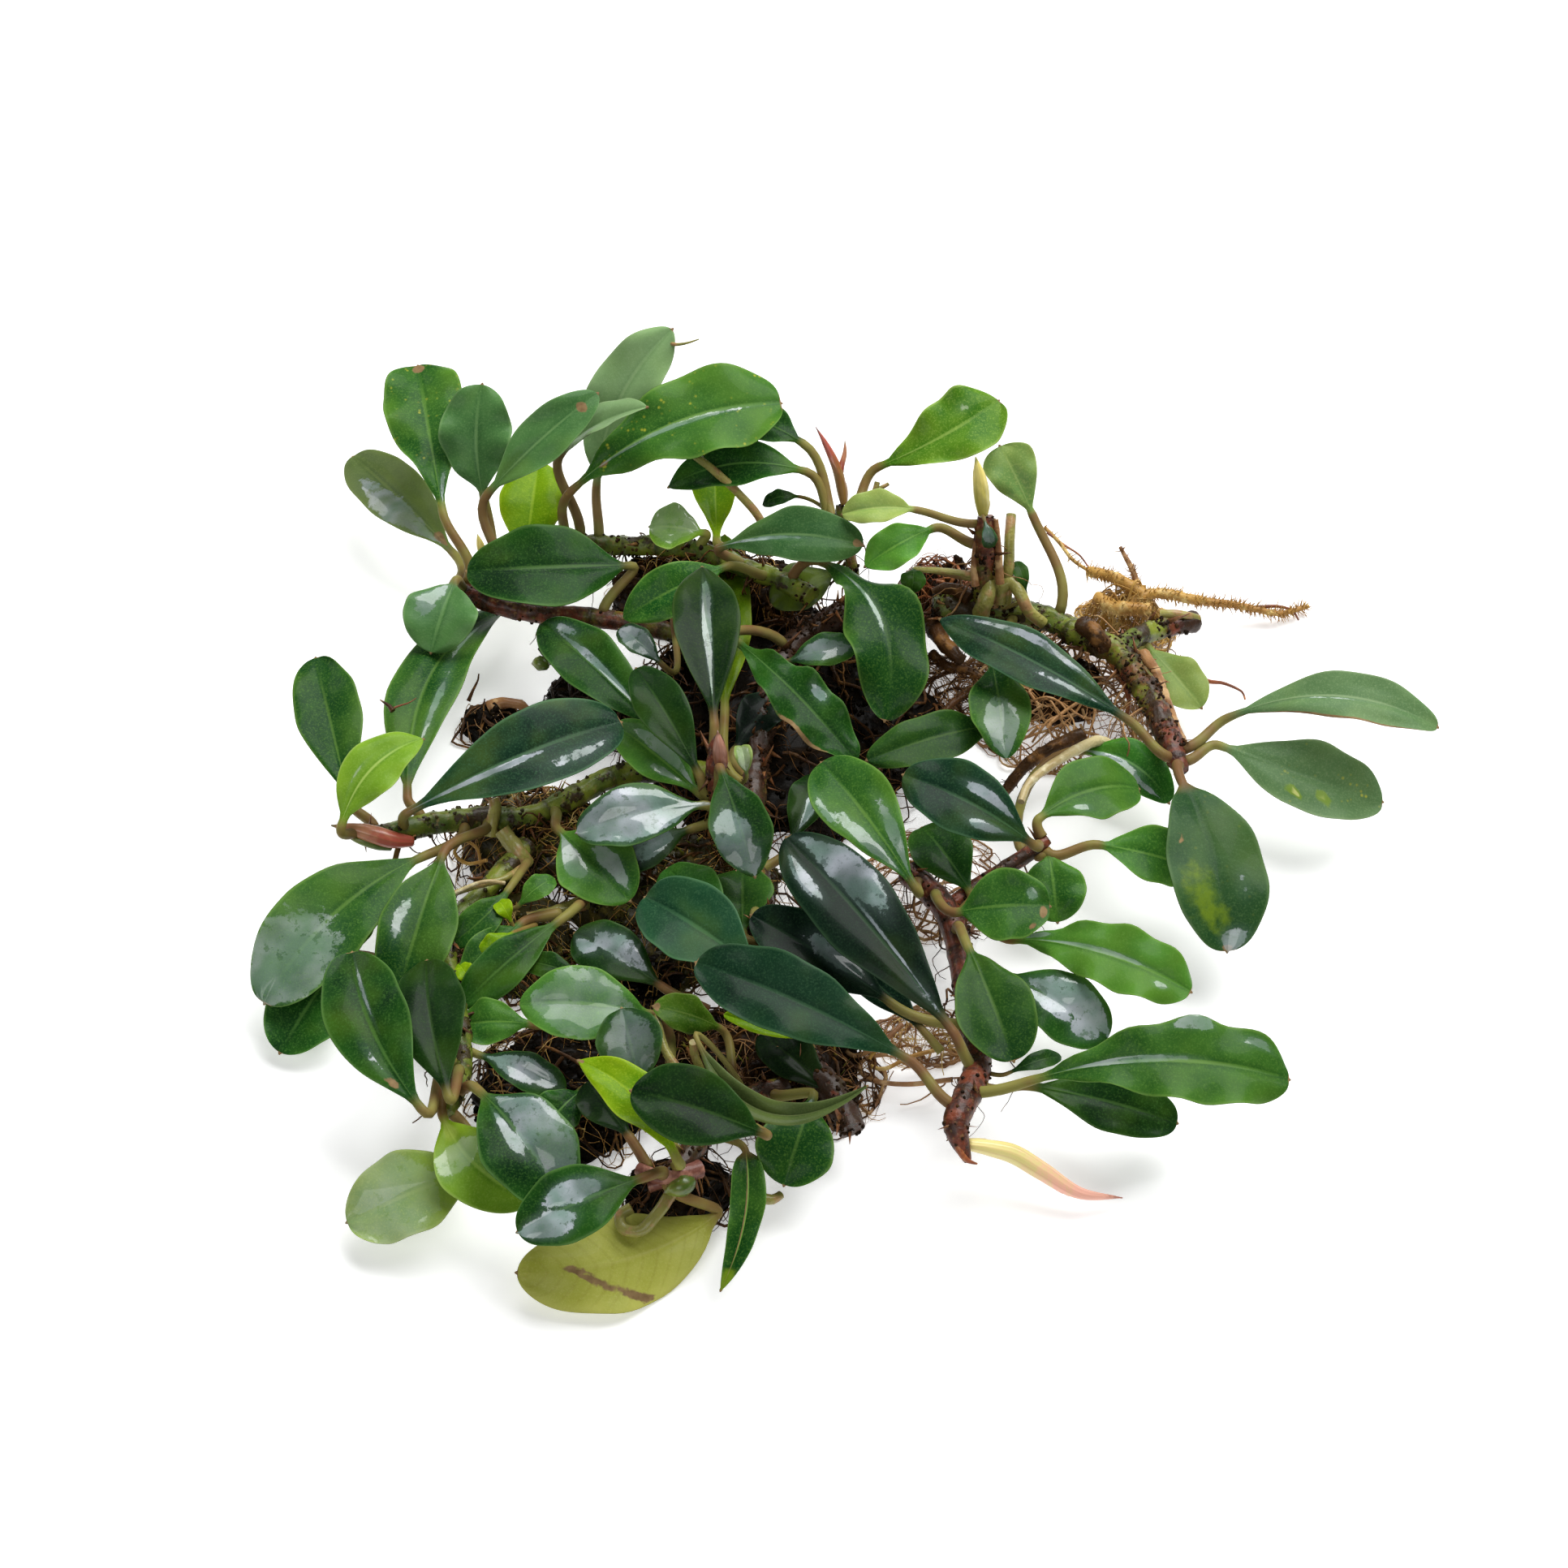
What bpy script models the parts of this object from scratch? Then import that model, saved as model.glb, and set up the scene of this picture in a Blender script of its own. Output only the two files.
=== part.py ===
"""A bare-rooted bucephalandra: creeping stems on mats of roots, with stalked leaves, buds and long roots."""

import math

import bmesh
import bpy
from mathutils import Matrix, Vector, noise

# Sizes of the plant, in metres
MM = 0.001
GAP = 0.3 * MM
STALK_RADIUS = 0.62 * MM
STALK_FOOT_RADIUS = 0.75 * MM
BLADE_THICKNESS = 0.8 * MM
TIP_THICKNESS = 0.35 * MM
NODE_SPACING = 5.2 * MM
NODE_SWELLING = 0.10
ROUTE_STEP = 3.2 * MM
STEM_SIDES_RESOLUTION = 2
MAT_UNDER_STEM = 0.5 * MM
MAT_REACH = 5.0 * MM
MAT_BUMPS = 2.3
MAT_ROUGHNESS = 0.22
MAT_BELOW_FLOOR = 0.25
SINK_INTO_STEM = 0.5 * MM
BUD_STEP = 2.2 * MM
ROOT_TAPER = 0.62
STALK_BEND = 0.38
WELD = 0.01 * MM

# The view in which places are given: a column and a row of its frame, with a height over the floor in mm
FRAME_SIDE = 1932
VIEW_ELEVATION = math.radians(50)
VIEW_DISTANCE = 0.5
HALF_FRAME_SLOPE = 18 / 85

# Stations along a leaf, as fractions of the stalk and then of the blade, for a large leaf and for a fused one
LARGE_STATIONS = ((0.0, 0.3, 0.68), (0.0, 0.1, 0.25, 0.42, 0.6, 0.77, 0.9, 0.972))
SMALL_STATIONS = ((0.0, 0.5), (0.0, 0.18, 0.42, 0.66, 0.87, 0.97))


def clear_scene():
    for obj in list(bpy.data.objects):
        bpy.data.objects.remove(obj, do_unlink=True)


def at(column, row, height):
    """The point of the plant at a column and a row of the view's frame, and a height over the floor in mm."""
    eye = Vector((0, -math.cos(VIEW_ELEVATION), math.sin(VIEW_ELEVATION))) * VIEW_DISTANCE
    right = Vector((1, 0, 0))
    up = Vector((0, math.sin(VIEW_ELEVATION), math.cos(VIEW_ELEVATION)))
    half = FRAME_SIDE / 2
    ray = -eye.normalized()
    ray += right * ((column - half) / half * HALF_FRAME_SLOPE)
    ray += up * ((half - row) / half * HALF_FRAME_SLOPE)
    return eye + ray * ((height * MM - eye.z) / ray.z)


# Stems: radius in mm, taper of the growing tip, and the route from the old end to the tip
STEMS = {
    "stem_main": dict(
        radius=1.8, tip=0.9,
        route=(at(1120, 735, 8.5), at(1050, 752, 8.5), at(985, 790, 8.5), at(950, 850, 8.5),
               at(935, 920, 8.5), at(925, 1000, 8.5), at(930, 1080, 8.5), at(945, 1160, 8.5),
               at(960, 1240, 8.5), at(995, 1310, 8.5), at(1030, 1350, 8.5), at(1050, 1392, 8))),
    "stem_northwest": dict(
        radius=1.35, tip=0.5,
        route=(at(900, 800, 8), at(840, 783, 8), at(780, 768, 8), at(720, 760, 8.5), at(672, 757, 9.5),
               at(625, 749, 10.5), at(590, 737, 11.5), at(556, 716, 12.5))),
    "stem_north": dict(
        radius=1.5, tip=0.6,
        route=(at(1000, 735, 13.2), at(960, 715, 12.5), at(915, 698, 12), at(870, 682, 11), at(820, 672, 10),
               at(770, 672, 9.5), at(730, 672, 9.5), at(690, 668, 10))),
    "stem_east": dict(
        radius=1.75, tip=0.6,
        route=(at(1150, 748, 9), at(1215, 750, 9), at(1250, 752, 9), at(1290, 762, 9), at(1335, 785, 9.5),
               at(1375, 803, 10), at(1405, 840, 10.5), at(1428, 880, 11), at(1447, 925, 12),
               at(1455, 950, 12))),
    "stem_west": dict(
        radius=1.5, tip=0.35,
        route=(at(890, 955, 8), at(830, 950, 8), at(765, 955, 8), at(700, 985, 8), at(650, 1008, 8),
               at(600, 1008, 9), at(530, 1015, 10), at(475, 1028, 11), at(428, 1028, 12))),
    "stem_southeast": dict(
        radius=1.7, tip=0.3,
        route=(at(1120, 1075, 8.5), at(1165, 1120, 9), at(1182, 1170, 9), at(1195, 1250, 9),
               at(1205, 1310, 10), at(1192, 1350, 11.5), at(1178, 1385, 11.5), at(1192, 1430, 9))),
    "stem_south": dict(
        radius=1.4, tip=0.5,
        route=(at(972, 1338, 8), at(930, 1350, 8), at(880, 1385, 8), at(838, 1437, 9), at(812, 1452, 9.5))),
    "stem_southwest": dict(
        radius=1.35, tip=0.6,
        route=(at(650, 1040, 8), at(610, 1085, 8), at(560, 1140, 8.5), at(552, 1200, 8.5), at(566, 1260, 8.5),
               at(568, 1320, 9), at(552, 1372, 10))),
    "branch_northeast": dict(
        radius=1.25, tip=0.6, grows_from="stem_main",
        route=(at(1050, 752, 8.5), at(1052, 722, 11.5), at(1048, 690, 14.5), at(1040, 655, 17),
               at(1035, 622, 20))),
    "branch_centre": dict(
        radius=1.4, tip=0.25, grows_from="stem_main",
        route=(at(925, 1000, 8.5), at(900, 1000, 10.5), at(884, 985, 13), at(880, 950, 16.5),
               at(886, 905, 20.5))),
    "branch_spathe": dict(
        radius=1.7, tip=0.7, grows_from="stem_east",
        route=(at(1215, 750, 9), at(1212, 728, 12.5), at(1212, 703, 16), at(1214, 672, 19.5),
               at(1214, 636, 23))),
    "branch_cut_end": dict(
        radius=1.5, tip=0.95, grows_from="stem_east",
        route=(at(1375, 803, 10), at(1400, 785, 8.5), at(1430, 775, 7), at(1475, 765, 6))),
    "branch_middle_east": dict(
        radius=1.3, tip=0.6, grows_from="stem_southeast",
        route=(at(1165, 1120, 9), at(1210, 1088, 8.5), at(1255, 1060, 9.5), at(1292, 1034, 11))),
}


def leaf(name, stem, along, neck, tip, width, belly=0.58, point=0.62, arch=1.2, sweep=0.0, roll=0.0,
         fold=0.12, ripple=0.0, waves=3.0, lean=0.45, own=True):
    """One leaf: along is the foot's place on its stem from 0 to 1, width is the blade's in mm, belly is how
    far along the blade it is widest, point is 0.5 for a round tip and 1 for a sharp one. Arch and sweep bend
    the midrib in mm, roll turns the blade on it in degrees, fold lifts the edges and ripple waves them. Lean
    turns the upper face from straight up towards the view. A leaf that isn't its own is fused to its stem."""
    return dict(name=name, stem=stem, along=along, neck=neck, tip=tip, width=width, belly=belly, point=point,
                arch=arch, sweep=sweep, roll=roll, fold=fold, ripple=ripple, waves=waves, lean=lean, own=own)


LEAVES = (
    # Northwest shoot
    leaf("leaf_northwest_1", "stem_northwest", 0.95, at(545, 629, 18), at(515, 451, 22), 11.4, belly=0.68,
         arch=1.5, point=0.5, ripple=0.35),
    leaf("leaf_northwest_2", "stem_northwest", 0.985, at(560, 683, 11), at(435, 563, 8), 9.0, belly=0.60,
         arch=1.0, point=0.52),
    leaf("leaf_northwest_3", "stem_northwest", 0.87, at(596, 612, 17.5), at(594, 474, 28), 10.4,
         belly=0.54, arch=1.4, sweep=-0.6, roll=-8, ripple=0.3),
    leaf("leaf_northwest_4", "stem_northwest", 0.80, at(602, 607, 22), at(736, 485, 31.5), 7.6,
         belly=0.52, arch=2.2, roll=10),
    leaf("leaf_northwest_5", "stem_northwest", 0.70, at(643, 692, 11.5), at(660, 570, 16), 9.4,
         belly=0.56, arch=0.8, own=False),
    leaf("leaf_northwest_6", "stem_northwest", 0.46, at(776, 697, 14), at(575, 704, 16), 13.2, belly=0.50,
         arch=2.0, sweep=-1.0, roll=4),
    leaf("leaf_northwest_7", "stem_northwest", 0.95, at(560, 718, 16), at(531, 804, 12.5), 10.2,
         belly=0.50, arch=1.0, fold=0.28, own=False),
    # North shoot
    leaf("leaf_north_1", "stem_north", 0.86, at(735, 600, 15), at(828, 406, 33), 10.8, belly=0.50,
         arch=1.5, sweep=-2.6, ripple=0.3, point=0.6),
    leaf("leaf_north_2", "stem_north", 0.93, at(694, 556, 22.5), at(797, 502, 31), 6.0, belly=0.5,
         arch=1.0, fold=0.5, roll=-25, point=0.7, own=False),
    leaf("leaf_north_3", "stem_north", 0.985, at(706, 603, 20), at(962, 497, 27), 12.8, belly=0.62,
         arch=2.6, sweep=-2.0, ripple=0.5, waves=4),
    leaf("leaf_north_4", "stem_north", 0.30, at(887, 675, 16.5), at(1063, 672, 21), 8.0, belly=0.60,
         arch=2.2, sweep=-0.9, point=0.55, roll=6),
    leaf("leaf_north_5", "stem_north", 0.20, at(895, 698, 15.2), at(768, 762, 12), 7.4, belly=0.55,
         arch=2.0, roll=-10, point=0.8, own=False),
    leaf("leaf_north_6", "stem_north", 0.38, at(883, 667, 14), at(880, 556, 15), 7.5, belly=0.85,
         arch=-0.8, fold=0.3, own=False),
    leaf("leaf_north_7", "stem_north", 0.48, at(868, 657, 14), at(801, 649, 13.5), 7.0, belly=0.58,
         arch=0.6, own=False),
    leaf("leaf_north_8", "stem_north", 0.10, at(1010, 692, 17), at(1090, 888, 11), 12.6, belly=0.60,
         arch=3.4, sweep=-4.4, point=0.6, ripple=0.4, roll=-4),
    # Northeast shoot and the two leaves behind it
    leaf("leaf_northeast_1", "branch_northeast", 0.80, at(989, 546, 22), at(905, 510, 22), 6.4,
         belly=0.55, own=False),
    leaf("leaf_northeast_2", "branch_northeast", 0.70, at(993, 581, 20), at(824, 600, 17.5), 7.4,
         belly=0.48, arch=2.2, sweep=1.2, point=0.8, own=False),
    leaf("leaf_northeast_3", "branch_northeast", 0.88, at(1083, 575, 21), at(1233, 509, 27), 10.0,
         belly=0.68, arch=1.8, sweep=1.4, point=0.5),
    # Spathe shoot
    leaf("leaf_spathe_1", "branch_spathe", 0.93, at(1127, 628, 24), at(1038, 634, 23.5), 5.0, belly=0.5,
         fold=0.35, arch=1.2, own=False),
    leaf("leaf_spathe_2", "branch_spathe", 0.72, at(1150, 651, 20), at(1066, 698, 18.5), 6.2, belly=0.56,
         arch=1.0, own=False),
    # East shoot
    leaf("leaf_east_1", "stem_east", 0.335, at(1272, 634, 18), at(1232, 550, 24), 8.4, belly=0.66,
         arch=0.5, point=0.55),
    leaf("leaf_east_2", "stem_east", 0.96, at(1390, 887, 15), at(1158, 763, 20), 7.8, belly=0.58,
         arch=2.2, point=0.85),
    leaf("leaf_east_3", "stem_east", 0.935, at(1514, 884, 14), at(1771, 896, 16), 7.6, belly=0.62,
         arch=4.0, sweep=-2.0, point=0.55),
    leaf("leaf_east_4", "stem_east", 0.97, at(1504, 919, 12), at(1703, 988, 6.5), 10.2, belly=0.56,
         arch=1.8, sweep=0.9, point=0.55),
    leaf("leaf_east_5", "stem_east", 0.995, at(1458, 967, 14.5), at(1512, 1172, 8), 12.6, belly=0.58,
         arch=2.6, sweep=-0.5, point=0.52, roll=-6),
    leaf("leaf_east_6", "branch_cut_end", 0.05, at(1428, 803, 7), at(1480, 872, 5), 7.0, belly=0.62,
         arch=0.5, own=False),
    # Middle of the east side
    leaf("leaf_middle_1", "stem_east", 0.12, at(1222, 818, 14.5), at(1240, 935, 13), 8.4, belly=0.55,
         arch=1.6, point=0.8, own=False),
    leaf("leaf_middle_2", "stem_east", 0.22, at(1232, 893, 10.5), at(1068, 937, 12), 7.2, belly=0.5,
         arch=1.5, own=False),
    leaf("leaf_middle_3", "branch_middle_east", 0.90, at(1272, 1040, 14.5), at(1113, 955, 20.5), 9.8,
         belly=0.58, arch=2.4, point=0.6),
    leaf("leaf_middle_4", "stem_southeast", 0.06, at(1127, 1093, 15), at(1012, 940, 19), 9.8, belly=0.66,
         arch=2.0, point=0.5),
    leaf("leaf_middle_5", "branch_middle_east", 0.97, at(1281, 1008, 12.5), at(1403, 972, 10), 9.0,
         belly=0.55, arch=1.2, sweep=-1.2, point=0.5),
    leaf("leaf_middle_6", "branch_middle_east", 0.80, at(1300, 940, 7), at(1440, 989, 5), 7.0, belly=0.5,
         arch=1.2, sweep=-1.5, own=False),
    leaf("leaf_middle_7", "branch_middle_east", 0.93, at(1354, 1041, 10.5), at(1475, 1072, 7), 8.2,
         belly=0.55, arch=1.0, own=False),
    leaf("leaf_middle_8", "branch_middle_east", 0.86, at(1292, 1052, 10), at(1303, 1136, 6.5), 8.6,
         belly=0.5, arch=0.8, own=False),
    # Southeast shoot
    leaf("leaf_southeast_1", "stem_southeast", 0.72, at(1172, 1268, 15), at(969, 1032, 21), 11.2,
         belly=0.60, arch=2.6, point=0.6),
    leaf("leaf_southeast_2", "stem_southeast", 0.86, at(1117, 1304, 15), at(858, 1186, 20), 10.4,
         belly=0.62, arch=2.6, point=0.6, ripple=0.35, waves=4),
    leaf("leaf_southeast_3", "stem_southeast", 0.80, at(1272, 1331, 13.5), at(1588, 1330, 14), 11.0,
         belly=0.68, arch=3.6, sweep=-1.3, point=0.5, ripple=0.45, waves=4),
    leaf("leaf_southeast_4", "stem_southeast", 0.76, at(1268, 1338, 8.5), at(1450, 1384, 4), 8.0,
         belly=0.58, arch=1.6, point=0.6, own=False),
    leaf("leaf_southeast_5", "stem_southeast", 0.20, at(1248, 1158, 9.5), at(1467, 1222, 11), 9.0,
         belly=0.66, arch=2.4, sweep=-0.8, point=0.5, ripple=0.35, waves=4),
    leaf("leaf_southeast_6", "stem_southeast", 0.13, at(1180, 1124, 13.5), at(1293, 1117, 15), 10.4,
         belly=0.5, arch=1.2, point=0.5),
    leaf("leaf_southeast_7", "stem_southeast", 0.26, at(1193, 1168, 15), at(1249, 1307, 13), 10.4,
         belly=0.60, arch=1.4, point=0.5),
    leaf("leaf_southeast_8", "stem_southeast", 0.34, at(1238, 1192, 9.5), at(1364, 1276, 5), 8.6,
         belly=0.56, arch=1.6, point=0.6, own=False),
    leaf("leaf_southeast_9", "stem_southeast", 0.55, at(1098, 1236, 11.5), at(926, 1128, 15.5), 8.4,
         belly=0.6, arch=1.5, own=False),
    # Centre shoot
    leaf("leaf_centre_1", "branch_centre", 0.72, at(880, 890, 19), at(865, 699, 19.5), 9.2, belly=0.58,
         arch=2.4, point=0.7),
    leaf("leaf_centre_2", "branch_centre", 0.45, at(862, 955, 15.5), at(778, 826, 18), 7.6, belly=0.56,
         arch=1.8, own=False),
    leaf("leaf_centre_3", "branch_centre", 0.20, at(862, 978, 13), at(757, 893, 12), 7.0, belly=0.5,
         arch=1.0, own=False),
    leaf("leaf_centre_4", "branch_centre", 0.30, at(866, 992, 15), at(711, 1026, 14), 8.6, belly=0.55,
         arch=1.8),
    leaf("leaf_centre_5", "branch_centre", 0.55, at(888, 948, 20), at(930, 1080, 15), 8.8, belly=0.58,
         arch=1.6, point=0.75),
    leaf("leaf_centre_6", "stem_west", 0.20, at(812, 902, 11.5), at(668, 768, 13), 8.6, belly=0.6,
         arch=1.8),
    leaf("leaf_centre_7", "stem_west", 0.47, at(690, 1025, 11), at(776, 1110, 9), 10.4, belly=0.5,
         arch=1.2, own=False),
    leaf("leaf_centre_8", "stem_main", 0.20, at(905, 788, 15.5), at(1055, 938, 12), 7.6, belly=0.62,
         arch=2.2, ripple=0.5, waves=4, point=0.7),
    leaf("leaf_centre_9", "stem_main", 0.44, at(887, 882, 11), at(905, 704, 8.5), 8.0, belly=0.6,
         arch=0.6, own=False),
    leaf("leaf_centre_10", "stem_main", 0.66, at(935, 1198, 14), at(795, 1106, 14.5), 11.0, belly=0.58,
         arch=1.6, point=0.55, own=False),
    # West shoot
    leaf("leaf_west_1", "stem_west", 0.80, at(503, 975, 11.5), at(627, 748, 5.5), 9.6, belly=0.44,
         arch=3.0, sweep=-3.2, point=0.9),
    leaf("leaf_west_2", "stem_west", 0.93, at(430, 985, 12), at(389, 811, 15), 9.6, belly=0.58, arch=1.2,
         point=0.55),
    leaf("leaf_west_3", "stem_west", 0.985, at(428, 1024, 17), at(521, 911, 21), 7.0, belly=0.5, arch=1.8,
         sweep=-0.8, point=0.8, own=False),
    leaf("leaf_west_4", "stem_west", 0.86, at(503, 1001, 15), at(765, 890, 17), 11.4, belly=0.64,
         arch=2.8, point=0.55),
    leaf("leaf_west_5", "stem_west", 0.64, at(545, 1054, 13.5), at(488, 1238, 9), 10.6, belly=0.5,
         arch=1.6),
    leaf("leaf_west_6", "stem_west", 0.70, at(520, 1056, 11), at(326, 1236, 6), 13.4, belly=0.58,
         arch=2.2, sweep=1.6, point=0.5),
    # Southwest shoot
    leaf("leaf_southwest_1", "stem_southwest", 0.83, at(519, 1366, 13.5), at(434, 1174, 17), 10.4,
         belly=0.58, arch=1.8, sweep=-1.6, point=0.55),
    leaf("leaf_southwest_2", "stem_southwest", 0.87, at(552, 1350, 14), at(526, 1184, 14.5), 9.2,
         belly=0.58, arch=1.6, sweep=-0.6),
    leaf("leaf_southwest_3", "stem_southwest", 0.93, at(592, 1350, 14.5), at(697, 1487, 10), 12.0,
         belly=0.5, arch=3.0, sweep=-0.4, point=0.6),
    leaf("leaf_southwest_4", "stem_southwest", 0.93, at(546, 1388, 10.5), at(650, 1490, 5.5), 9.0,
         belly=0.5, arch=2.0, sweep=1.8, own=False),
    leaf("leaf_southwest_5", "stem_southwest", 0.99, at(566, 1432, 7), at(428, 1506, 4), 11.6, belly=0.52,
         arch=0.8, point=0.55),
    leaf("leaf_southwest_6", "stem_southwest", 0.50, at(415, 1190, 4.5), at(345, 1297, 2), 9.8,
         belly=0.55, arch=0.8, own=False),
    # South shoot
    leaf("leaf_south_1", "stem_south", 0.70, at(802, 1250, 12), at(640, 1237, 15), 9.8, belly=0.56,
         arch=2.0, point=0.75),
    leaf("leaf_south_2", "stem_south", 0.80, at(790, 1345, 14), at(766, 1243, 18), 9.2, belly=0.58,
         arch=1.0, own=False),
    leaf("leaf_south_3", "stem_south", 0.90, at(832, 1424, 15.5), at(713, 1307, 20), 6.4, belly=0.5,
         arch=1.4, sweep=1.4, point=0.9, own=False),
    leaf("leaf_south_4", "stem_south", 0.42, at(943, 1398, 18), at(778, 1344, 22), 9.6, belly=0.58,
         arch=1.6, point=0.6),
    leaf("leaf_south_5", "stem_south", 0.10, at(1002, 1352, 10), at(966, 1460, 6.5), 9.8, belly=0.62,
         arch=1.4, point=0.6),
    leaf("leaf_south_6", "stem_south", 0.25, at(888, 1306, 19), at(1070, 1337, 17), 5.0, belly=0.4,
         arch=-1.0, sweep=3.6, fold=0.6, point=0.9, own=False),
    leaf("leaf_south_7", "stem_south", 0.55, at(919, 1420, 8), at(889, 1592, 3.5), 5.2, belly=0.42,
         arch=0.8, sweep=-0.9, fold=0.35, point=0.8, own=False),
    leaf("leaf_south_8", "stem_south", 0.97, at(880, 1500, 2.6), at(637, 1568, 4.5), 11.4, belly=0.54,
         arch=1.0, sweep=-2.4, fold=-0.15, point=0.6),
    leaf("leaf_south_9", "stem_south", 0.985, at(790, 1452, 14), at(638, 1518, 12), 9.2, belly=0.56,
         arch=1.4, point=0.6),
)

# Buds and sheaths: stem, place on it, radius in mm, and the route to the point
BUDS = {
    "bud_northeast": dict(
        radius=1.05,
        route=(at(1034, 613, 21.4), at(1031, 585, 24), at(1022, 552, 27), at(1006, 527, 29))),
    "spathe_yellow": dict(
        radius=1.25,
        route=(at(1214, 626, 24.8), at(1211, 608, 27), at(1207, 585, 29.5), at(1204, 562, 32))),
    "spathe_pink": dict(
        radius=1.55,
        route=(at(1203, 1424, 7.6), at(1240, 1430, 6.6), at(1285, 1450, 5), at(1335, 1470, 3.2),
               at(1384, 1476, 2))),
}

# Long roots that lie free of the mat: radius in mm and the route
ROOTS = {
    "root_east": dict(
        radius=1.0,
        route=(at(1385, 752, 6), at(1425, 733, 6.4), at(1470, 741, 5), at(1530, 747, 3), at(1575, 753, 1.6),
               at(1612, 746, 1))),
    "root_pale": dict(
        radius=1.1,
        route=(at(1345, 916, 4.5), at(1310, 925, 4.5), at(1275, 950, 3.6), at(1255, 985, 2.5))),
}

# Mats of roots with soil: middle, half lengths across and along in mm, height in mm, turn in degrees
MATS = {
    "root_mat_centre": dict(middle=at(962, 905, 0), across=23, along=22, height=7.5, turn=20, seed=1),
    "root_mat_east": dict(middle=at(1300, 862, 0), across=13, along=13, height=7.5, turn=-30, seed=2),
    "root_mat_west": dict(middle=at(655, 1050, 0), across=10.5, along=9, height=7, turn=10, seed=3),
    "root_mat_south": dict(middle=at(940, 1325, 0), across=15, along=10, height=7, turn=-10, seed=4),
}

COLOURS = {
    "leaf": (0.035, 0.12, 0.03, 1, 0.25),
    "stem": (0.16, 0.09, 0.035, 1, 0.55),
    "root": (0.22, 0.13, 0.05, 1, 0.8),
    "bud": (0.45, 0.16, 0.11, 1, 0.4),
    "spathe": (0.55, 0.45, 0.10, 1, 0.4),
}


def material(kind):
    made = bpy.data.materials.get(kind)
    if made is None:
        made = bpy.data.materials.new(kind)
        made.use_nodes = True
        shader = made.node_tree.nodes["Principled BSDF"]
        shader.inputs["Base Color"].default_value = COLOURS[kind][:4]
        shader.inputs["Roughness"].default_value = COLOURS[kind][4]
        shader.inputs["Metallic"].default_value = 0.0
    return made


def collection(name):
    made = bpy.data.collections.new(name)
    bpy.context.scene.collection.children.link(made)
    return made


def smooth_route(points, step):
    """Points about a step apart on the Catmull-Rom curve through the given ones."""
    points = [points[0] * 2 - points[1], *points, points[-1] * 2 - points[-2]]
    made = []
    for before, start, end, after in zip(points, points[1:], points[2:], points[3:]):
        count = max(1, round((end - start).length / step))
        for index in range(count):
            t = index / count
            made.append(0.5 * (2 * start + (end - before) * t
                               + (2 * before - 5 * start + 4 * end - after) * t ** 2
                               + (3 * start - before - 3 * end + after) * t ** 3))
    made.append(points[-2])
    return made


def point_along(points, fraction):
    """The place and the direction at a fraction of the length of a line of points."""
    lengths = [(b - a).length for a, b in zip(points, points[1:])]
    left = fraction * sum(lengths)
    for start, end, length in zip(points, points[1:], lengths):
        if left <= length:
            return start.lerp(end, left / length), (end - start).normalized()
        left -= length
    return points[-1].copy(), (points[-1] - points[-2]).normalized()


def stem_radius(stem, fraction, length):
    """The stem's radius: a little thicker at each node, and narrower at the growing tip."""
    node = 0.5 + 0.5 * math.cos(2 * math.pi * fraction * length / NODE_SPACING)
    radius = stem["radius"] * MM * (1 - NODE_SWELLING + NODE_SWELLING * node)
    near_tip = max(0.0, (fraction - 0.9) / 0.1)
    return radius * (1 - (1 - stem["tip"]) * near_tip ** 2)


def tube(name, points, radii, kind, target):
    """A tube on a line of points, with its own radius at each."""
    curve = bpy.data.curves.new(name, "CURVE")
    curve.dimensions = "3D"
    curve.bevel_depth = 1.0
    curve.bevel_resolution = STEM_SIDES_RESOLUTION
    curve.use_fill_caps = True
    spline = curve.splines.new("POLY")
    spline.points.add(len(points) - 1)
    for slot, point, radius in zip(spline.points, points, radii):
        slot.co = (*point, 1)
        slot.radius = radius
    spline.use_smooth = True
    made = bpy.data.objects.new(name, curve)
    made.data.materials.append(material(kind))
    target.objects.link(made)
    return made


def as_mesh(tube_object, target):
    """The tube as a welded mesh object of the same name, for a Boolean."""
    bpy.context.view_layer.update()
    graph = bpy.context.evaluated_depsgraph_get()
    mesh = bpy.data.meshes.new_from_object(tube_object.evaluated_get(graph))
    shape = bmesh.new()
    shape.from_mesh(mesh)
    bmesh.ops.remove_doubles(shape, verts=shape.verts, dist=WELD)
    bmesh.ops.recalc_face_normals(shape, faces=shape.faces)
    shape.to_mesh(mesh)
    shape.free()
    name = tube_object.name
    matrix = tube_object.matrix_world.copy()
    bpy.data.objects.remove(tube_object, do_unlink=True)
    made = bpy.data.objects.new(name, mesh)
    made.matrix_world = matrix
    mesh.shade_smooth()
    target.objects.link(made)
    return made


def bezier(points, t):
    a, b, c, d = points
    s = 1 - t
    return a * s ** 3 + b * 3 * s * s * t + c * 3 * s * t * t + d * t ** 3


def half_width(leaf_data, u):
    """Half of the blade's width at a fraction u of its length."""
    belly = leaf_data["belly"]
    if u <= belly:
        share = math.sin(math.pi / 2 * u / belly) ** 1.15
    else:
        share = math.cos(math.pi / 2 * (u - belly) / (1 - belly)) ** leaf_data["point"]
    return leaf_data["width"] / 2 * MM * share


def leaf_frame(leaf_data):
    """The blade's length, its axis, its side and its upper face's direction."""
    neck, tip = leaf_data["neck"], leaf_data["tip"]
    axis = (tip - neck).normalized()
    to_eye = Vector((0, -math.cos(VIEW_ELEVATION), math.sin(VIEW_ELEVATION)))
    up = Vector((0, 0, 1)).lerp(to_eye, leaf_data["lean"])
    up = (up - axis * up.dot(axis)).normalized()
    up.rotate(Matrix.Rotation(math.radians(leaf_data["roll"]), 3, axis))
    return (tip - neck).length, axis, axis.cross(up).normalized(), up


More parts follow.
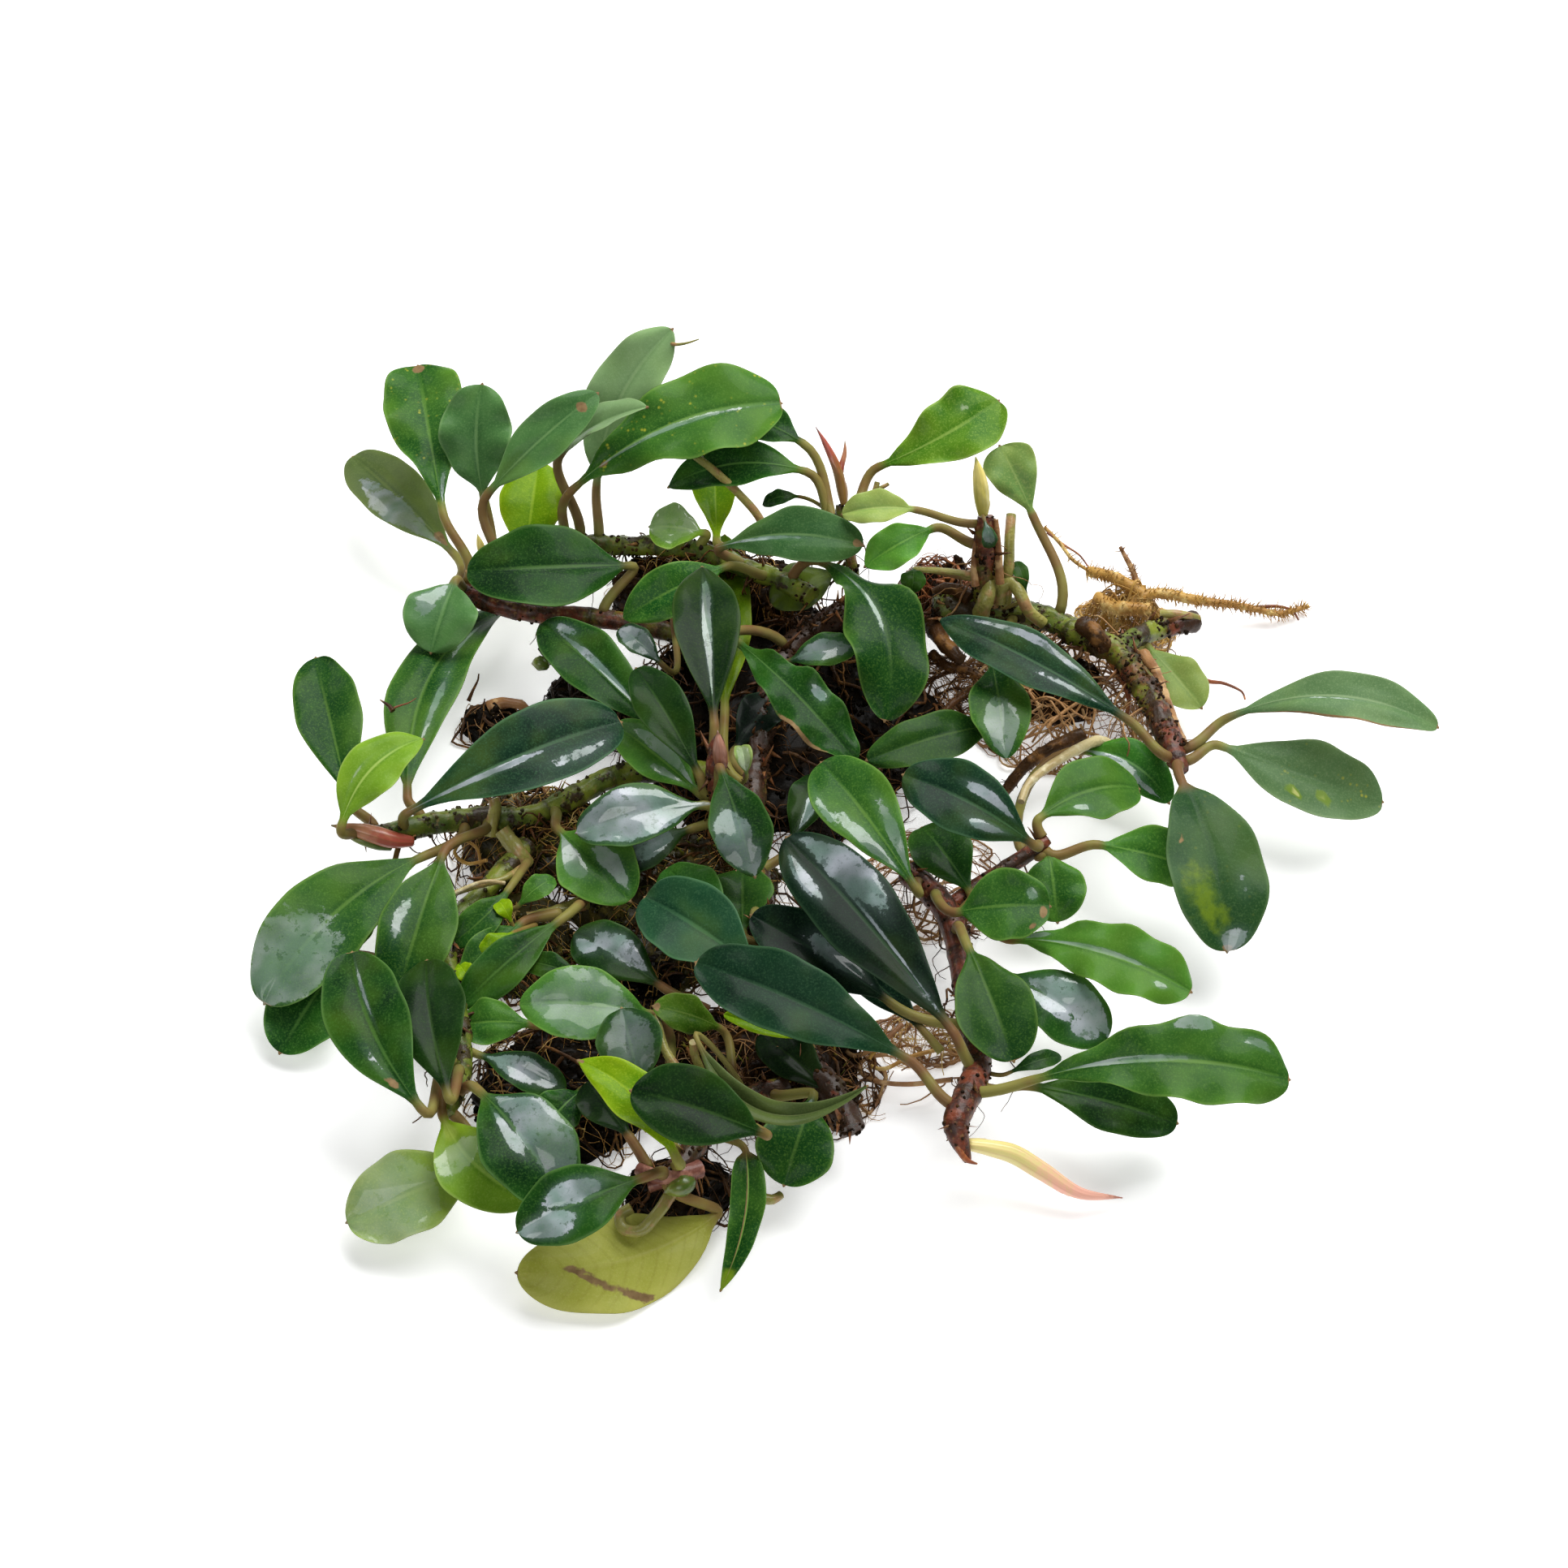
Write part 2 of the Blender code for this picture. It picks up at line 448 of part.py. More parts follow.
def leaf_foot(leaf_data, stem, route):
    """Where the stalk leaves its stem, and its direction there, square to the stem."""
    length = sum((b - a).length for a, b in zip(route, route[1:]))
    centre, along = point_along(route, leaf_data["along"])
    outward = leaf_data["neck"] - centre
    outward = (outward - along * outward.dot(along)).normalized()
    radius = stem_radius(stem, leaf_data["along"], length)
    reach = radius + GAP if leaf_data["own"] else radius - SINK_INTO_STEM
    return centre + outward * reach, outward


def midrib(leaf_data, foot, outward):
    """The places from the foot to the tip, each with how far along the blade it is or None on the stalk."""
    length, axis, side, up = leaf_frame(leaf_data)
    neck, tip = leaf_data["neck"], leaf_data["tip"]

    def blade_point(u):
        bend = 4 * u * (1 - u) * MM
        return neck.lerp(tip, u) + up * (leaf_data["arch"] * bend) + side * (leaf_data["sweep"] * bend)

    start = (blade_point(0.02) - neck).normalized()
    reach = (neck - foot).length
    stalk = (foot, foot + outward * reach * STALK_BEND, neck - start * reach * STALK_BEND, neck)
    stalk_stations, blade_stations = LARGE_STATIONS if leaf_data["own"] else SMALL_STATIONS
    places = [(bezier(stalk, t), None) for t in stalk_stations]
    places += [(blade_point(u), u) for u in blade_stations]
    places.append((tip, 1.0))
    return places, side


def leaf_rings(leaf_data, foot, outward):
    """Rings of four points each, left edge, top, right edge and underside, then the tip."""
    places, side = midrib(leaf_data, foot, outward)
    points = [place for place, _ in places]
    tangents = [(b - a).normalized() for a, b in zip(points[:-1], points[1:])]
    tangents = [outward] + [(a + b).normalized() for a, b in zip(tangents, tangents[1:])]
    neck_index = sum(1 for _, u in places if u is None)
    sides = [None] * len(tangents)
    for index in [*range(neck_index, len(tangents)), *range(neck_index - 1, -1, -1)]:
        if index == neck_index:
            near = side
        elif index > neck_index:
            near = sides[index - 1]
        else:
            near = sides[index + 1]
        sides[index] = (near - tangents[index] * near.dot(tangents[index])).normalized()
    rings = []
    for index, ((place, u), tangent, across) in enumerate(zip(places, tangents, sides)):
        up = across.cross(tangent).normalized()
        if u is None:
            share = index / neck_index
            half = deep = STALK_FOOT_RADIUS + (STALK_RADIUS - STALK_FOOT_RADIUS) * share
            lift_left = lift_right = 0.0
        else:
            half = max(half_width(leaf_data, u), STALK_RADIUS * (1 - u))
            deep = BLADE_THICKNESS / 2 + (TIP_THICKNESS - BLADE_THICKNESS) / 2 * u
            deep = max(deep, STALK_RADIUS * (1 - u / 0.12))
            wave = leaf_data["ripple"] * MM * min(1.0, half / (2 * MM))
            phase = 2 * math.pi * leaf_data["waves"] * u
            lift_left = leaf_data["fold"] * half + wave * math.sin(phase)
            lift_right = leaf_data["fold"] * half + wave * math.sin(phase + 2.1)
        rings.append((place - across * half + up * lift_left, place + up * deep,
                      place + across * half + up * lift_right, place - up * deep))
    return rings, points[-1]


def leaf_object(leaf_data, foot, outward, target):
    """The leaf as one closed solid, lofted through its rings from the stalk's foot to the tip."""
    rings, tip = leaf_rings(leaf_data, foot, outward)
    shape = bmesh.new()
    lines = [[shape.verts.new(point) for point in ring] for ring in rings]
    end = shape.verts.new(tip)
    sides = len(lines[0])
    shape.faces.new(lines[0])
    for ring, after in zip(lines, lines[1:]):
        for index in range(sides):
            other = (index + 1) % sides
            shape.faces.new((ring[index], ring[other], after[other], after[index]))
    for index in range(sides):
        shape.faces.new((lines[-1][index], lines[-1][(index + 1) % sides], end))
    bmesh.ops.triangulate(shape, faces=shape.faces)
    bmesh.ops.recalc_face_normals(shape, faces=shape.faces)
    mesh = bpy.data.meshes.new(leaf_data["name"])
    shape.to_mesh(mesh)
    shape.free()
    mesh.shade_smooth()
    mesh.materials.append(material("leaf"))
    made = bpy.data.objects.new(leaf_data["name"], mesh)
    target.objects.link(made)
    return made


def fuse(made, piece):
    """Adds a piece to a stem's solid."""
    piece.hide_render = True
    piece.display_type = "WIRE"
    union = made.modifiers.new(piece.name, "BOOLEAN")
    union.operation = "UNION"
    union.solver = "EXACT"
    union.object = piece


def stem_objects(target, cutters):
    """Each stem, with its short side branches and the smaller leaves that grow from it fused on."""
    routes = {}
    stems = {}
    for name, stem in STEMS.items():
        route = smooth_route(stem["route"], ROUTE_STEP)
        routes[name] = route
        parent = stem.get("grows_from")
        length = sum((b - a).length for a, b in zip(route, route[1:]))
        radii = []
        done = 0.0
        for index, point in enumerate(route):
            if index:
                done += (point - route[index - 1]).length
            radii.append(stem_radius(stem, done / length, length))
        made = tube(name, route, radii, "stem", cutters if parent else target)
        fused = [entry for entry in LEAVES if entry["stem"] == name and not entry["own"]]
        if parent or fused or name in [other.get("grows_from") for other in STEMS.values()]:
            made = as_mesh(made, cutters if parent else target)
        if parent:
            fuse(stems[parent], made)
        stems[name] = stems[parent] if parent else made
        for entry in fused:
            foot, outward = leaf_foot(entry, stem, route)
            fuse(stems[name], leaf_object(entry, foot, outward, cutters))
    return routes


def bud_share(u):
    """The share of a bud's radius at a fraction of its length: a swollen lower half, then a long point."""
    if u < 0.35:
        return 0.6 + 0.4 * math.sin(math.pi / 2 * u / 0.35)
    return max(0.12, math.cos(math.pi / 2 * (u - 0.35) / 0.65) ** 0.8)


def spindle_objects(target):
    """Buds, sheaths and long roots: tubes that swell or taper along their routes."""
    for name, bud in BUDS.items():
        route = smooth_route(bud["route"], BUD_STEP)
        last = len(route) - 1
        radii = [bud["radius"] * MM * bud_share(index / last) for index in range(last + 1)]
        tube(name, route, radii, "spathe" if name.startswith("spathe") else "bud", target)
    for name, root in ROOTS.items():
        route = smooth_route(root["route"], ROUTE_STEP)
        last = len(route) - 1
        radii = [root["radius"] * MM * (1 - ROOT_TAPER * index / last) for index in range(last + 1)]
        tube(name, route, radii, "root", target)


def mat_objects(target, routes):
    """Low lumps of matted roots, flat underneath and hollowed where a stem lies on them."""
    axes = [(point, STEMS[name]["radius"] * MM) for name, route in routes.items() for point in route]
    for name, mat in MATS.items():
        shape = bmesh.new()
        bmesh.ops.create_icosphere(shape, subdivisions=2, radius=1.0)
        turn = Matrix.Rotation(math.radians(mat["turn"]), 3, "Z")
        for vert in shape.verts:
            bump = noise.noise(vert.co * MAT_BUMPS + Vector((mat["seed"] * 7.1, 0, 0)))
            place = vert.co * (1 + MAT_ROUGHNESS * bump)
            flat = Vector((place.x * mat["across"], place.y * mat["along"], 0)) * MM
            place = turn @ flat + mat["middle"]
            height = (vert.co.z + MAT_BELOW_FLOOR) / (1 + MAT_BELOW_FLOOR) * mat["height"] * MM
            height *= 1 + bump / 3
            for point, radius in axes:
                if (Vector((place.x, place.y)) - Vector((point.x, point.y))).length < radius + MAT_REACH:
                    height = min(height, point.z - radius - MAT_UNDER_STEM)
            vert.co = Vector((place.x, place.y, max(0.0, height)))
        mesh = bpy.data.meshes.new(name)
        bmesh.ops.recalc_face_normals(shape, faces=shape.faces)
        shape.to_mesh(mesh)
        shape.free()
        mesh.shade_smooth()
        mesh.materials.append(material("root"))
        target.objects.link(bpy.data.objects.new(name, mesh))


def main():
    clear_scene()
    plant = collection("bucephalandra")
    cutters = collection("cutters")
    routes = stem_objects(plant, cutters)
    for entry in LEAVES:
        if entry["own"]:
            foot, outward = leaf_foot(entry, STEMS[entry["stem"]], routes[entry["stem"]])
            leaf_object(entry, foot, outward, plant)
    spindle_objects(plant)
    mat_objects(plant, routes)


main()
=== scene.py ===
# A bare-rooted bucephalandra on a pale floor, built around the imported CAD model
import math
import random
import bmesh
import bpy
import numpy as np
from mathutils import Matrix, Vector, noise


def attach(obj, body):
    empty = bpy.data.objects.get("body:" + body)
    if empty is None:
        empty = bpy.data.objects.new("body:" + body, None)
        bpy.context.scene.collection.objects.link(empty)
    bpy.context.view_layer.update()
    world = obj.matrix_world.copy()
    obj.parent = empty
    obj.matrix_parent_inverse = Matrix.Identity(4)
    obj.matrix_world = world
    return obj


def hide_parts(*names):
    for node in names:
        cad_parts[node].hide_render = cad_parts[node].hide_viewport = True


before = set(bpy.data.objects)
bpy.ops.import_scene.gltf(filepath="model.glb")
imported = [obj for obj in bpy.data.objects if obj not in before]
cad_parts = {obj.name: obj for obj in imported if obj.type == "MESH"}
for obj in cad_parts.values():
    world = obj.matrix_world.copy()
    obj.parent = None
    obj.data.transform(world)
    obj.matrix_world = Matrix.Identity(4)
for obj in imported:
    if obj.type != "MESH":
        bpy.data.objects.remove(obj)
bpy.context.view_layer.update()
mm = 0.001

# places on the plant are given as column and row in the view, and height over the floor in mm
view = {"side": 1932, "elevation": 50.0, "distance": 0.5, "lens": 85.0, "sensor": 36.0}
elevation = math.radians(view["elevation"])
toEye = Vector((0, -math.cos(elevation), math.sin(elevation)))
eyeUp = Vector((0, math.sin(elevation), math.cos(elevation)))
upward = Vector((0, 0, 1))


def at(column, row, height):
    eye = toEye * view["distance"]
    half = view["side"] / 2
    slope = view["sensor"] / 2 / view["lens"]
    right, up = (column - half) / half * slope, (half - row) / half * slope
    ray = Vector((right, 0, 0)) + eyeUp * up - toEye
    return eye + ray * ((height * mm - eye.z) / ray.z)


def makeCamera():
    data = bpy.data.cameras.new("camera")
    data.lens = view["lens"]
    data.sensor_width = view["sensor"]
    data.clip_start = 0.01
    camera = bpy.data.objects.new("camera", data)
    camera.location = toEye * view["distance"]
    camera.rotation_euler = (math.pi / 2 - elevation, 0, 0)
    bpy.context.scene.collection.objects.link(camera)
    bpy.context.scene.camera = camera


makeCamera()
print("camera placed")


# a socket as a value: arithmetic on it adds nodes
class Value:
    def __init__(self, graph, socket):
        self.graph = graph
        self.socket = socket

    def maths(self, operation, first, second=None):
        values = {0: first} if second is None else {0: first, 1: second}
        return self.graph.add("ShaderNodeMath", {"operation": operation}, values)

    def abs(self):
        return self.maths("ABSOLUTE", self)

    def sin(self):
        return self.maths("SINE", self)

    def fraction(self):
        return self.maths("FRACT", self)

    def clamped(self):
        return self.graph.add("ShaderNodeClamp", {}, {0: self})

    def over(self, low, high):
        settings = {"interpolation_type": "SMOOTHSTEP"}
        return self.graph.add("ShaderNodeMapRange", settings, {0: self, 1: low, 2: high})


# each operator also works with the plain number on its left, as in 1 - mask
def addOperator(sign, operation):
    setattr(Value, "__" + sign + "__", lambda self, other: self.maths(operation, self, other))
    setattr(Value, "__r" + sign + "__", lambda self, other: self.maths(operation, other, self))


for sign, operation in (("add", "ADD"), ("sub", "SUBTRACT"), ("mul", "MULTIPLY"), ("truediv", "DIVIDE"),
                        ("pow", "POWER")):
    addOperator(sign, operation)


class Graph:
    def __init__(self, tree):
        self.tree = tree

    # settings are set first, then sockets get values or links; the result is one output
    def add(self, kind, settings, values, output=0):
        node = self.tree.nodes.new(kind)
        for key, value in settings.items():
            setattr(node, key, value)
        for key, value in values.items():
            if isinstance(value, Value):
                self.tree.links.new(value.socket, node.inputs[key])
            elif value is not None:
                node.inputs[key].default_value = value
        return Value(self, node.outputs[output]) if node.outputs else node

    def pick(self, value, output):
        return Value(self, value.socket.node.outputs[output])

    def mix(self, factor, first, second):
        return self.add("ShaderNodeMix", {"data_type": "RGBA"}, {0: factor, 6: first, 7: second}, 2)

    def scaled(self, vector, factor):
        return self.add("ShaderNodeVectorMath", {"operation": "SCALE"}, {0: vector, 3: factor})

    def place(self):
        return self.add("ShaderNodeTexCoord", {}, {}, 3)

    def stretched(self, scale):
        return self.add("ShaderNodeMapping", {}, {"Vector": self.place(), "Scale": scale})

    def noise(self, scale, detail=3.0, roughness=0.55, vector=None):
        return self.add("ShaderNodeTexNoise", {}, {"Vector": vector or self.place(), "Scale": scale,
                                                   "Detail": detail, "Roughness": roughness})

    def dots(self, scale):
        return self.add("ShaderNodeTexVoronoi", {}, {"Vector": self.place(), "Scale": scale})

    def bump(self, strength, distance, height):
        return self.add("ShaderNodeBump", {}, {"Strength": strength, "Distance": distance, "Height": height})

    def number(self, name):
        return self.add("ShaderNodeAttribute", {"attribute_name": name}, {}, 2)

    def triple(self, name):
        vector = self.add("ShaderNodeAttribute", {"attribute_name": name}, {}, 1)
        split = self.add("ShaderNodeSeparateXYZ", {}, {0: vector})
        return split, self.pick(split, 1), self.pick(split, 2)


def colour(red, green, blue):
    linear = [c / 255 / 12.92 if c <= 10 else ((c / 255 + 0.055) / 1.055) ** 2.4 for c in (red, green, blue)]
    return (*linear, 1.0)


def newMaterial(name):
    made = bpy.data.materials.new(name)
    made.use_nodes = True
    made.node_tree.nodes.clear()
    return made, Graph(made.node_tree)


# the constants are the same all over the surface and stay on the shader's own sockets
def finishMaterial(graph, constants, values):
    shader = graph.add("ShaderNodeBsdfPrincipled", {}, {**constants, **values})
    graph.add("ShaderNodeOutputMaterial", {}, {"Surface": shader})


# leaf skins: dark and light tissue and the margin's colour; soak is how much of it shows through the painted glare
leafLooks = {
    "deep": dict(dark=(5, 34, 9), light=(38, 86, 20), rim=(84, 118, 58)),
    "blue": dict(dark=(2, 24, 14), light=(24, 60, 36), rim=(70, 104, 70)),
    "grey": dict(dark=(34, 70, 34), light=(72, 110, 58), rim=(104, 134, 84), soak=0.2),
    "fresh": dict(dark=(18, 62, 18), light=(74, 124, 40), rim=(112, 148, 66), soak=0.3),
    "light": dict(dark=(52, 104, 14), light=(128, 168, 44), rim=(166, 192, 100), soak=0.5),
    "lime": dict(dark=(88, 132, 2), light=(152, 182, 10), rim=(176, 200, 60), soak=0.5),
    "olive": dict(dark=(42, 62, 28), light=(92, 108, 56), rim=(112, 126, 72)),
    # this grey-green is lighter than the tissue: partly the leaf's own grey, partly a painted sheen
    "mist": dict(dark=(84, 116, 72), light=(120, 150, 100), rim=(138, 160, 116), soak=0.4),
    "sage": dict(dark=(96, 130, 66), light=(154, 168, 84), rim=(166, 182, 114), soak=0.5),
    "straw": dict(dark=(156, 160, 60), light=(204, 204, 112), rim=(170, 168, 84), soak=0.4,
        veins=0.16, veinTint=(128, 122, 44)),
}
# the two glare colours are painted reflection, light off wet patches; the sheen number is the faint painted sheen
# around them
leafTints = {"film": (184, 188, 200), "paintedGlareDim": (126, 150, 144), "warm": (92, 112, 20), "stalk": (134, 126, 66),
             "stalkRed": (122, 86, 56), "scar": (158, 132, 92), "scarDark": (84, 62, 38), "fleck": (196, 190, 60),
             "glow": (122, 148, 28), "bleached": (212, 212, 124)}
leafFinish = {"paintedGlareShare": 0.70, "paintedSheen": 0.16, "roughness": 0.44, "veinPitch": 13.0, "veinLean": 2.1,
              "veins": 0.035, "soak": 0.12, "scales": {"broad": 110, "blotch": 260, "fine": 2600, "grain": 4400}}


def leafMaterial(name, look):
    made, g = newMaterial(name)
    dark, light, margin = (colour(*look[key]) for key in ("dark", "light", "rim"))
    skin = {key: colour(*tint) for key, tint in leafTints.items()}
    across, along, under = g.triple("spot")
    film, scar, tint = g.triple("paint")
    pale, fleck, toneAndPaintedLightGain = g.triple("habit")
    # glow is where the leaf yellows; the second number is how strongly the wet gloss and its painted glare show
    glow, veil, _ = g.triple("wear")
    scales = leafFinish["scales"]
    broad = g.noise(scales["broad"], 2)
    blotch = g.noise(scales["blotch"], 3)
    fine = g.noise(scales["fine"], 2)
    grain = g.noise(scales["grain"], 1)
    side = across.abs()

    # two greens, with the margin and the tip a little lighter
    uneven = (blotch - 0.5) * 0.8 + (broad - 0.5) * 0.7 + side.over(0.55, 1.0) * 0.2
    base = g.mix((tint * 0.75 + uneven).clamped(), dark, light)
    base = g.mix(broad.over(0.45, 0.75) * 0.35, base, g.mix(0.6, light, skin["warm"]))
    base = g.mix(side.over(0.90, 0.99) * 0.5, base, margin)

    # veins leave the midrib forwards and bend to the margin
    vein = ((along * leafFinish["veinPitch"] - side ** 1.4 * leafFinish["veinLean"]) * 6.2832).sin()
    veinLine = vein.over(0.55, 1.0) * (1 - side.over(0.7, 1.0))
    veinTint = colour(*look.get("veinTint", look["light"]))
    base = g.mix(veinLine * look.get("veins", leafFinish["veins"]), base, veinTint)
    rib = (1 - side.over(0.015, 0.07)) * (1 - along.over(0.55, 0.98)) * pale
    base = g.mix((rib * 0.75).clamped(), base, margin)
    base = g.mix((rib * -0.75).clamped(), base, dark)
    base = g.mix(side.over(0.03, 0.07) * (1 - side.over(0.08, 0.2)) * 0.3, base, dark)

    # pin-point speckle, yellow flecks, a pale underside, scars
    speckle = fine.over(0.50, 0.74) * 0.24 + grain.over(0.50, 0.72) * 0.28
    base = g.mix(speckle, base, g.mix(0.45, light, margin))
    yellowed = (glow + (g.noise(600, 4) - 0.5) * glow.over(0.0, 0.3)).over(0.25, 0.8)
    base = g.mix(yellowed * 0.65, base, g.mix(glow.over(0.9, 1.3), skin["glow"], skin["bleached"]))
    flecks = (1 - g.dots(1100).over(0.08, 0.34)) * g.noise(300, 2).over(0.50, 0.66) * fleck
    base = g.mix(flecks.clamped(), base, skin["fleck"])
    base = g.mix(under * 0.55, base, g.mix(0.5, light, (0.32, 0.38, 0.22, 1)))
    # painted light and shade in part: the brightness factor is partly the leaf's tone and partly how lit it looks
    base = g.scaled(base, toneAndPaintedLightGain)
    scarMask = (scar + (g.noise(1500, 2) - 0.5) * 0.5).over(0.38, 0.62)
    base = g.mix(scarMask, base, g.mix(g.noise(900, 2), skin["scar"], skin["scarDark"]))

    # the stalk: olive, reddish in places
    stalkTint = g.mix(g.noise(180, 2).over(0.35, 0.65), skin["stalk"], skin["stalkRed"])
    base = g.mix((1 - along.over(-0.02, 0.09)) * 0.85, base, stalkTint)

    # wet patches: gloss in the coat, plus a painted reflection, a silver glare mixed into the base colour; ragged at
    # its edge, broken up inside, brighter in some places than in others, with a faint painted sheen spreading around
    # it
    ragged = g.noise(300, 9, 0.75) - 0.5
    broken = (0.35 + g.noise(150, 2).over(0.35, 0.62) * 0.65) * (1 - g.noise(460, 5, 0.7).over(0.58, 0.62) * 0.6)
    wet = (film + ragged * 1.3).over(0.50, 0.58) * (1 - under) * (1 - fine.over(0.56, 0.72) * 0.3) * veil
    glare = g.mix(g.noise(170, 3).over(0.36, 0.64), skin["film"], skin["paintedGlareDim"])
    glare = g.mix(look.get("soak", leafFinish["soak"]), glare, margin)
    base = g.mix(film.over(0.05, 0.9) * veil * (1 - under) * leafFinish["paintedSheen"], base, skin["paintedGlareDim"])
    base = g.mix((wet * broken * leafFinish["paintedGlareShare"]).clamped(), base, glare)
    rough = leafFinish["roughness"] + (blotch - 0.5) * 0.16 + under * 0.2 - wet * 0.16
    rough = rough + scarMask * 0.3 + (grain - 0.5) * 0.2

    height = veinLine * -0.05 + g.noise(420, 3) * 0.5 + fine * 0.14 + grain * 0.10 - wet * 0.2
    finishMaterial(g, {"Specular IOR Level": 0.1, "Coat Roughness": 0.07, "IOR": 1.45},
                   {"Base Color": base, "Roughness": rough, "Normal": g.bump(0.4, 0.00022, height),
                    "Coat Weight": (0.04 + wet * 0.8).clamped()})
    return made


leafMaterials = {name: leafMaterial(name + "Leaf", look) for name, look in leafLooks.items()}
print("leaf skins made:", len(leafMaterials))


def smoothRoute(points, step):
    points = [points[0] * 2 - points[1], *points, points[-1] * 2 - points[-2]]
    made = []
    for before, start, end, after in zip(points, points[1:], points[2:], points[3:]):
        count = max(1, round((end - start).length / step))
        for index in range(count):
            t = index / count
            made.append(0.5 * (2 * start + (end - before) * t
                               + (2 * before - 5 * start + 4 * end - after) * t ** 2
                               + (3 * start - before - 3 * end + after) * t ** 3))
    made.append(points[-2])
    return made


def placeRoute(route, step):
    return smoothRoute([at(*place) for place in route], step * mm)


def routeLength(route):
    return sum((b - a).length for a, b in zip(route, route[1:]))


def pointAlong(points, fraction):
    left = fraction * routeLength(points)
    for start, end in zip(points, points[1:]):
        length = (end - start).length
        if left <= length:
            return start.lerp(end, left / length), (end - start).normalized()
        left -= length
    return points[-1].copy(), (points[-1] - points[-2]).normalized()


def bezier(points, t):
    a, b, c, d = points
    s = 1 - t
    return a * s ** 3 + b * 3 * s * s * t + c * 3 * s * t * t + d * t ** 3


def geometryTree(name, inputs):
    tree = bpy.data.node_groups.new(name, "GeometryNodeTree")
    tree.interface.new_socket("Geometry", in_out="INPUT", socket_type="NodeSocketGeometry")
    for label, (kind, value) in {**inputs, "material": ("Material", None)}.items():
        socket = tree.interface.new_socket(label, in_out="INPUT", socket_type="NodeSocket" + kind)
        if value is not None:
            socket.default_value = value
    tree.interface.new_socket("Geometry", in_out="OUTPUT", socket_type="NodeSocketGeometry")
    graph = Graph(tree)
    entry = tree.nodes.new("NodeGroupInput")
    given = {socket.name: Value(graph, socket) for socket in entry.outputs}
    return tree, graph, given


def finishTree(graph, shape, material):
    shape = graph.add("GeometryNodeSetShadeSmooth", {}, {0: shape, 2: True})
    shape = graph.add("GeometryNodeRealizeInstances", {}, {0: shape})
    shape = graph.add("GeometryNodeSetMaterial", {}, {0: shape, 2: material})
    graph.add("NodeGroupOutput", {}, {0: shape})


# tubes on lines: each point of the line gives its own radius in the attribute thick
def makeTubeTree():
    tree, g, given = geometryTree("tubeOnLine", {
        "spacing": ("Float", 0.0006), "sides": ("Int", 16), "ringSpacing": ("Float", 0.0052),
        "ringSwelling": ("Float", 0.0), "ringWander": ("Float", 0.0), "lumpSize": ("Float", 0.004),
        "lumps": ("Float", 0.15)})
    line = g.add("GeometryNodeMeshToCurve", {}, {0: given["Geometry"]})
    line = g.add("GeometryNodeResampleCurve", {"mode": "LENGTH"}, {0: line, 3: given["spacing"]})
    length = g.add("GeometryNodeSplineParameter", {}, {}, 1)
    thick = g.add("GeometryNodeInputNamedAttribute", {"data_type": "FLOAT"}, {0: "thick"})
    spot = g.add("GeometryNodeInputPosition", {}, {})
    wander = g.add("ShaderNodeTexNoise", {}, {0: spot, 2: 120.0, 3: 1.0}) - 0.5
    saw = (length / given["ringSpacing"] + wander * given["ringWander"]).fraction()
    ring = saw.over(0.0, 0.09) * (1 - saw.over(0.09, 0.30))
    radius = thick * (1 + ring * given["ringSwelling"])
    for name, value in (("along", length), ("ring", ring)):
        line = g.add("GeometryNodeStoreNamedAttribute", {"data_type": "FLOAT", "domain": "POINT"},
                     {0: line, 2: name, 3: value})
    profile = g.add("GeometryNodeCurvePrimitiveCircle", {}, {0: given["sides"], 4: 1.0})
    tube = g.add("GeometryNodeCurveToMesh", {}, {0: line, 1: profile, 2: radius, 3: True})
    lumps = g.add("ShaderNodeTexNoise", {}, {0: spot, 2: 1.0 / given["lumpSize"], 3: 4.0, 4: 0.6})
    normal = g.add("GeometryNodeInputNormal", {}, {})
    push = g.scaled(normal, (lumps - 0.5) * thick * given["lumps"])
    tube = g.add("GeometryNodeSetPosition", {}, {0: tube, 3: push})
    finishTree(g, tube, given["material"])
    return tree


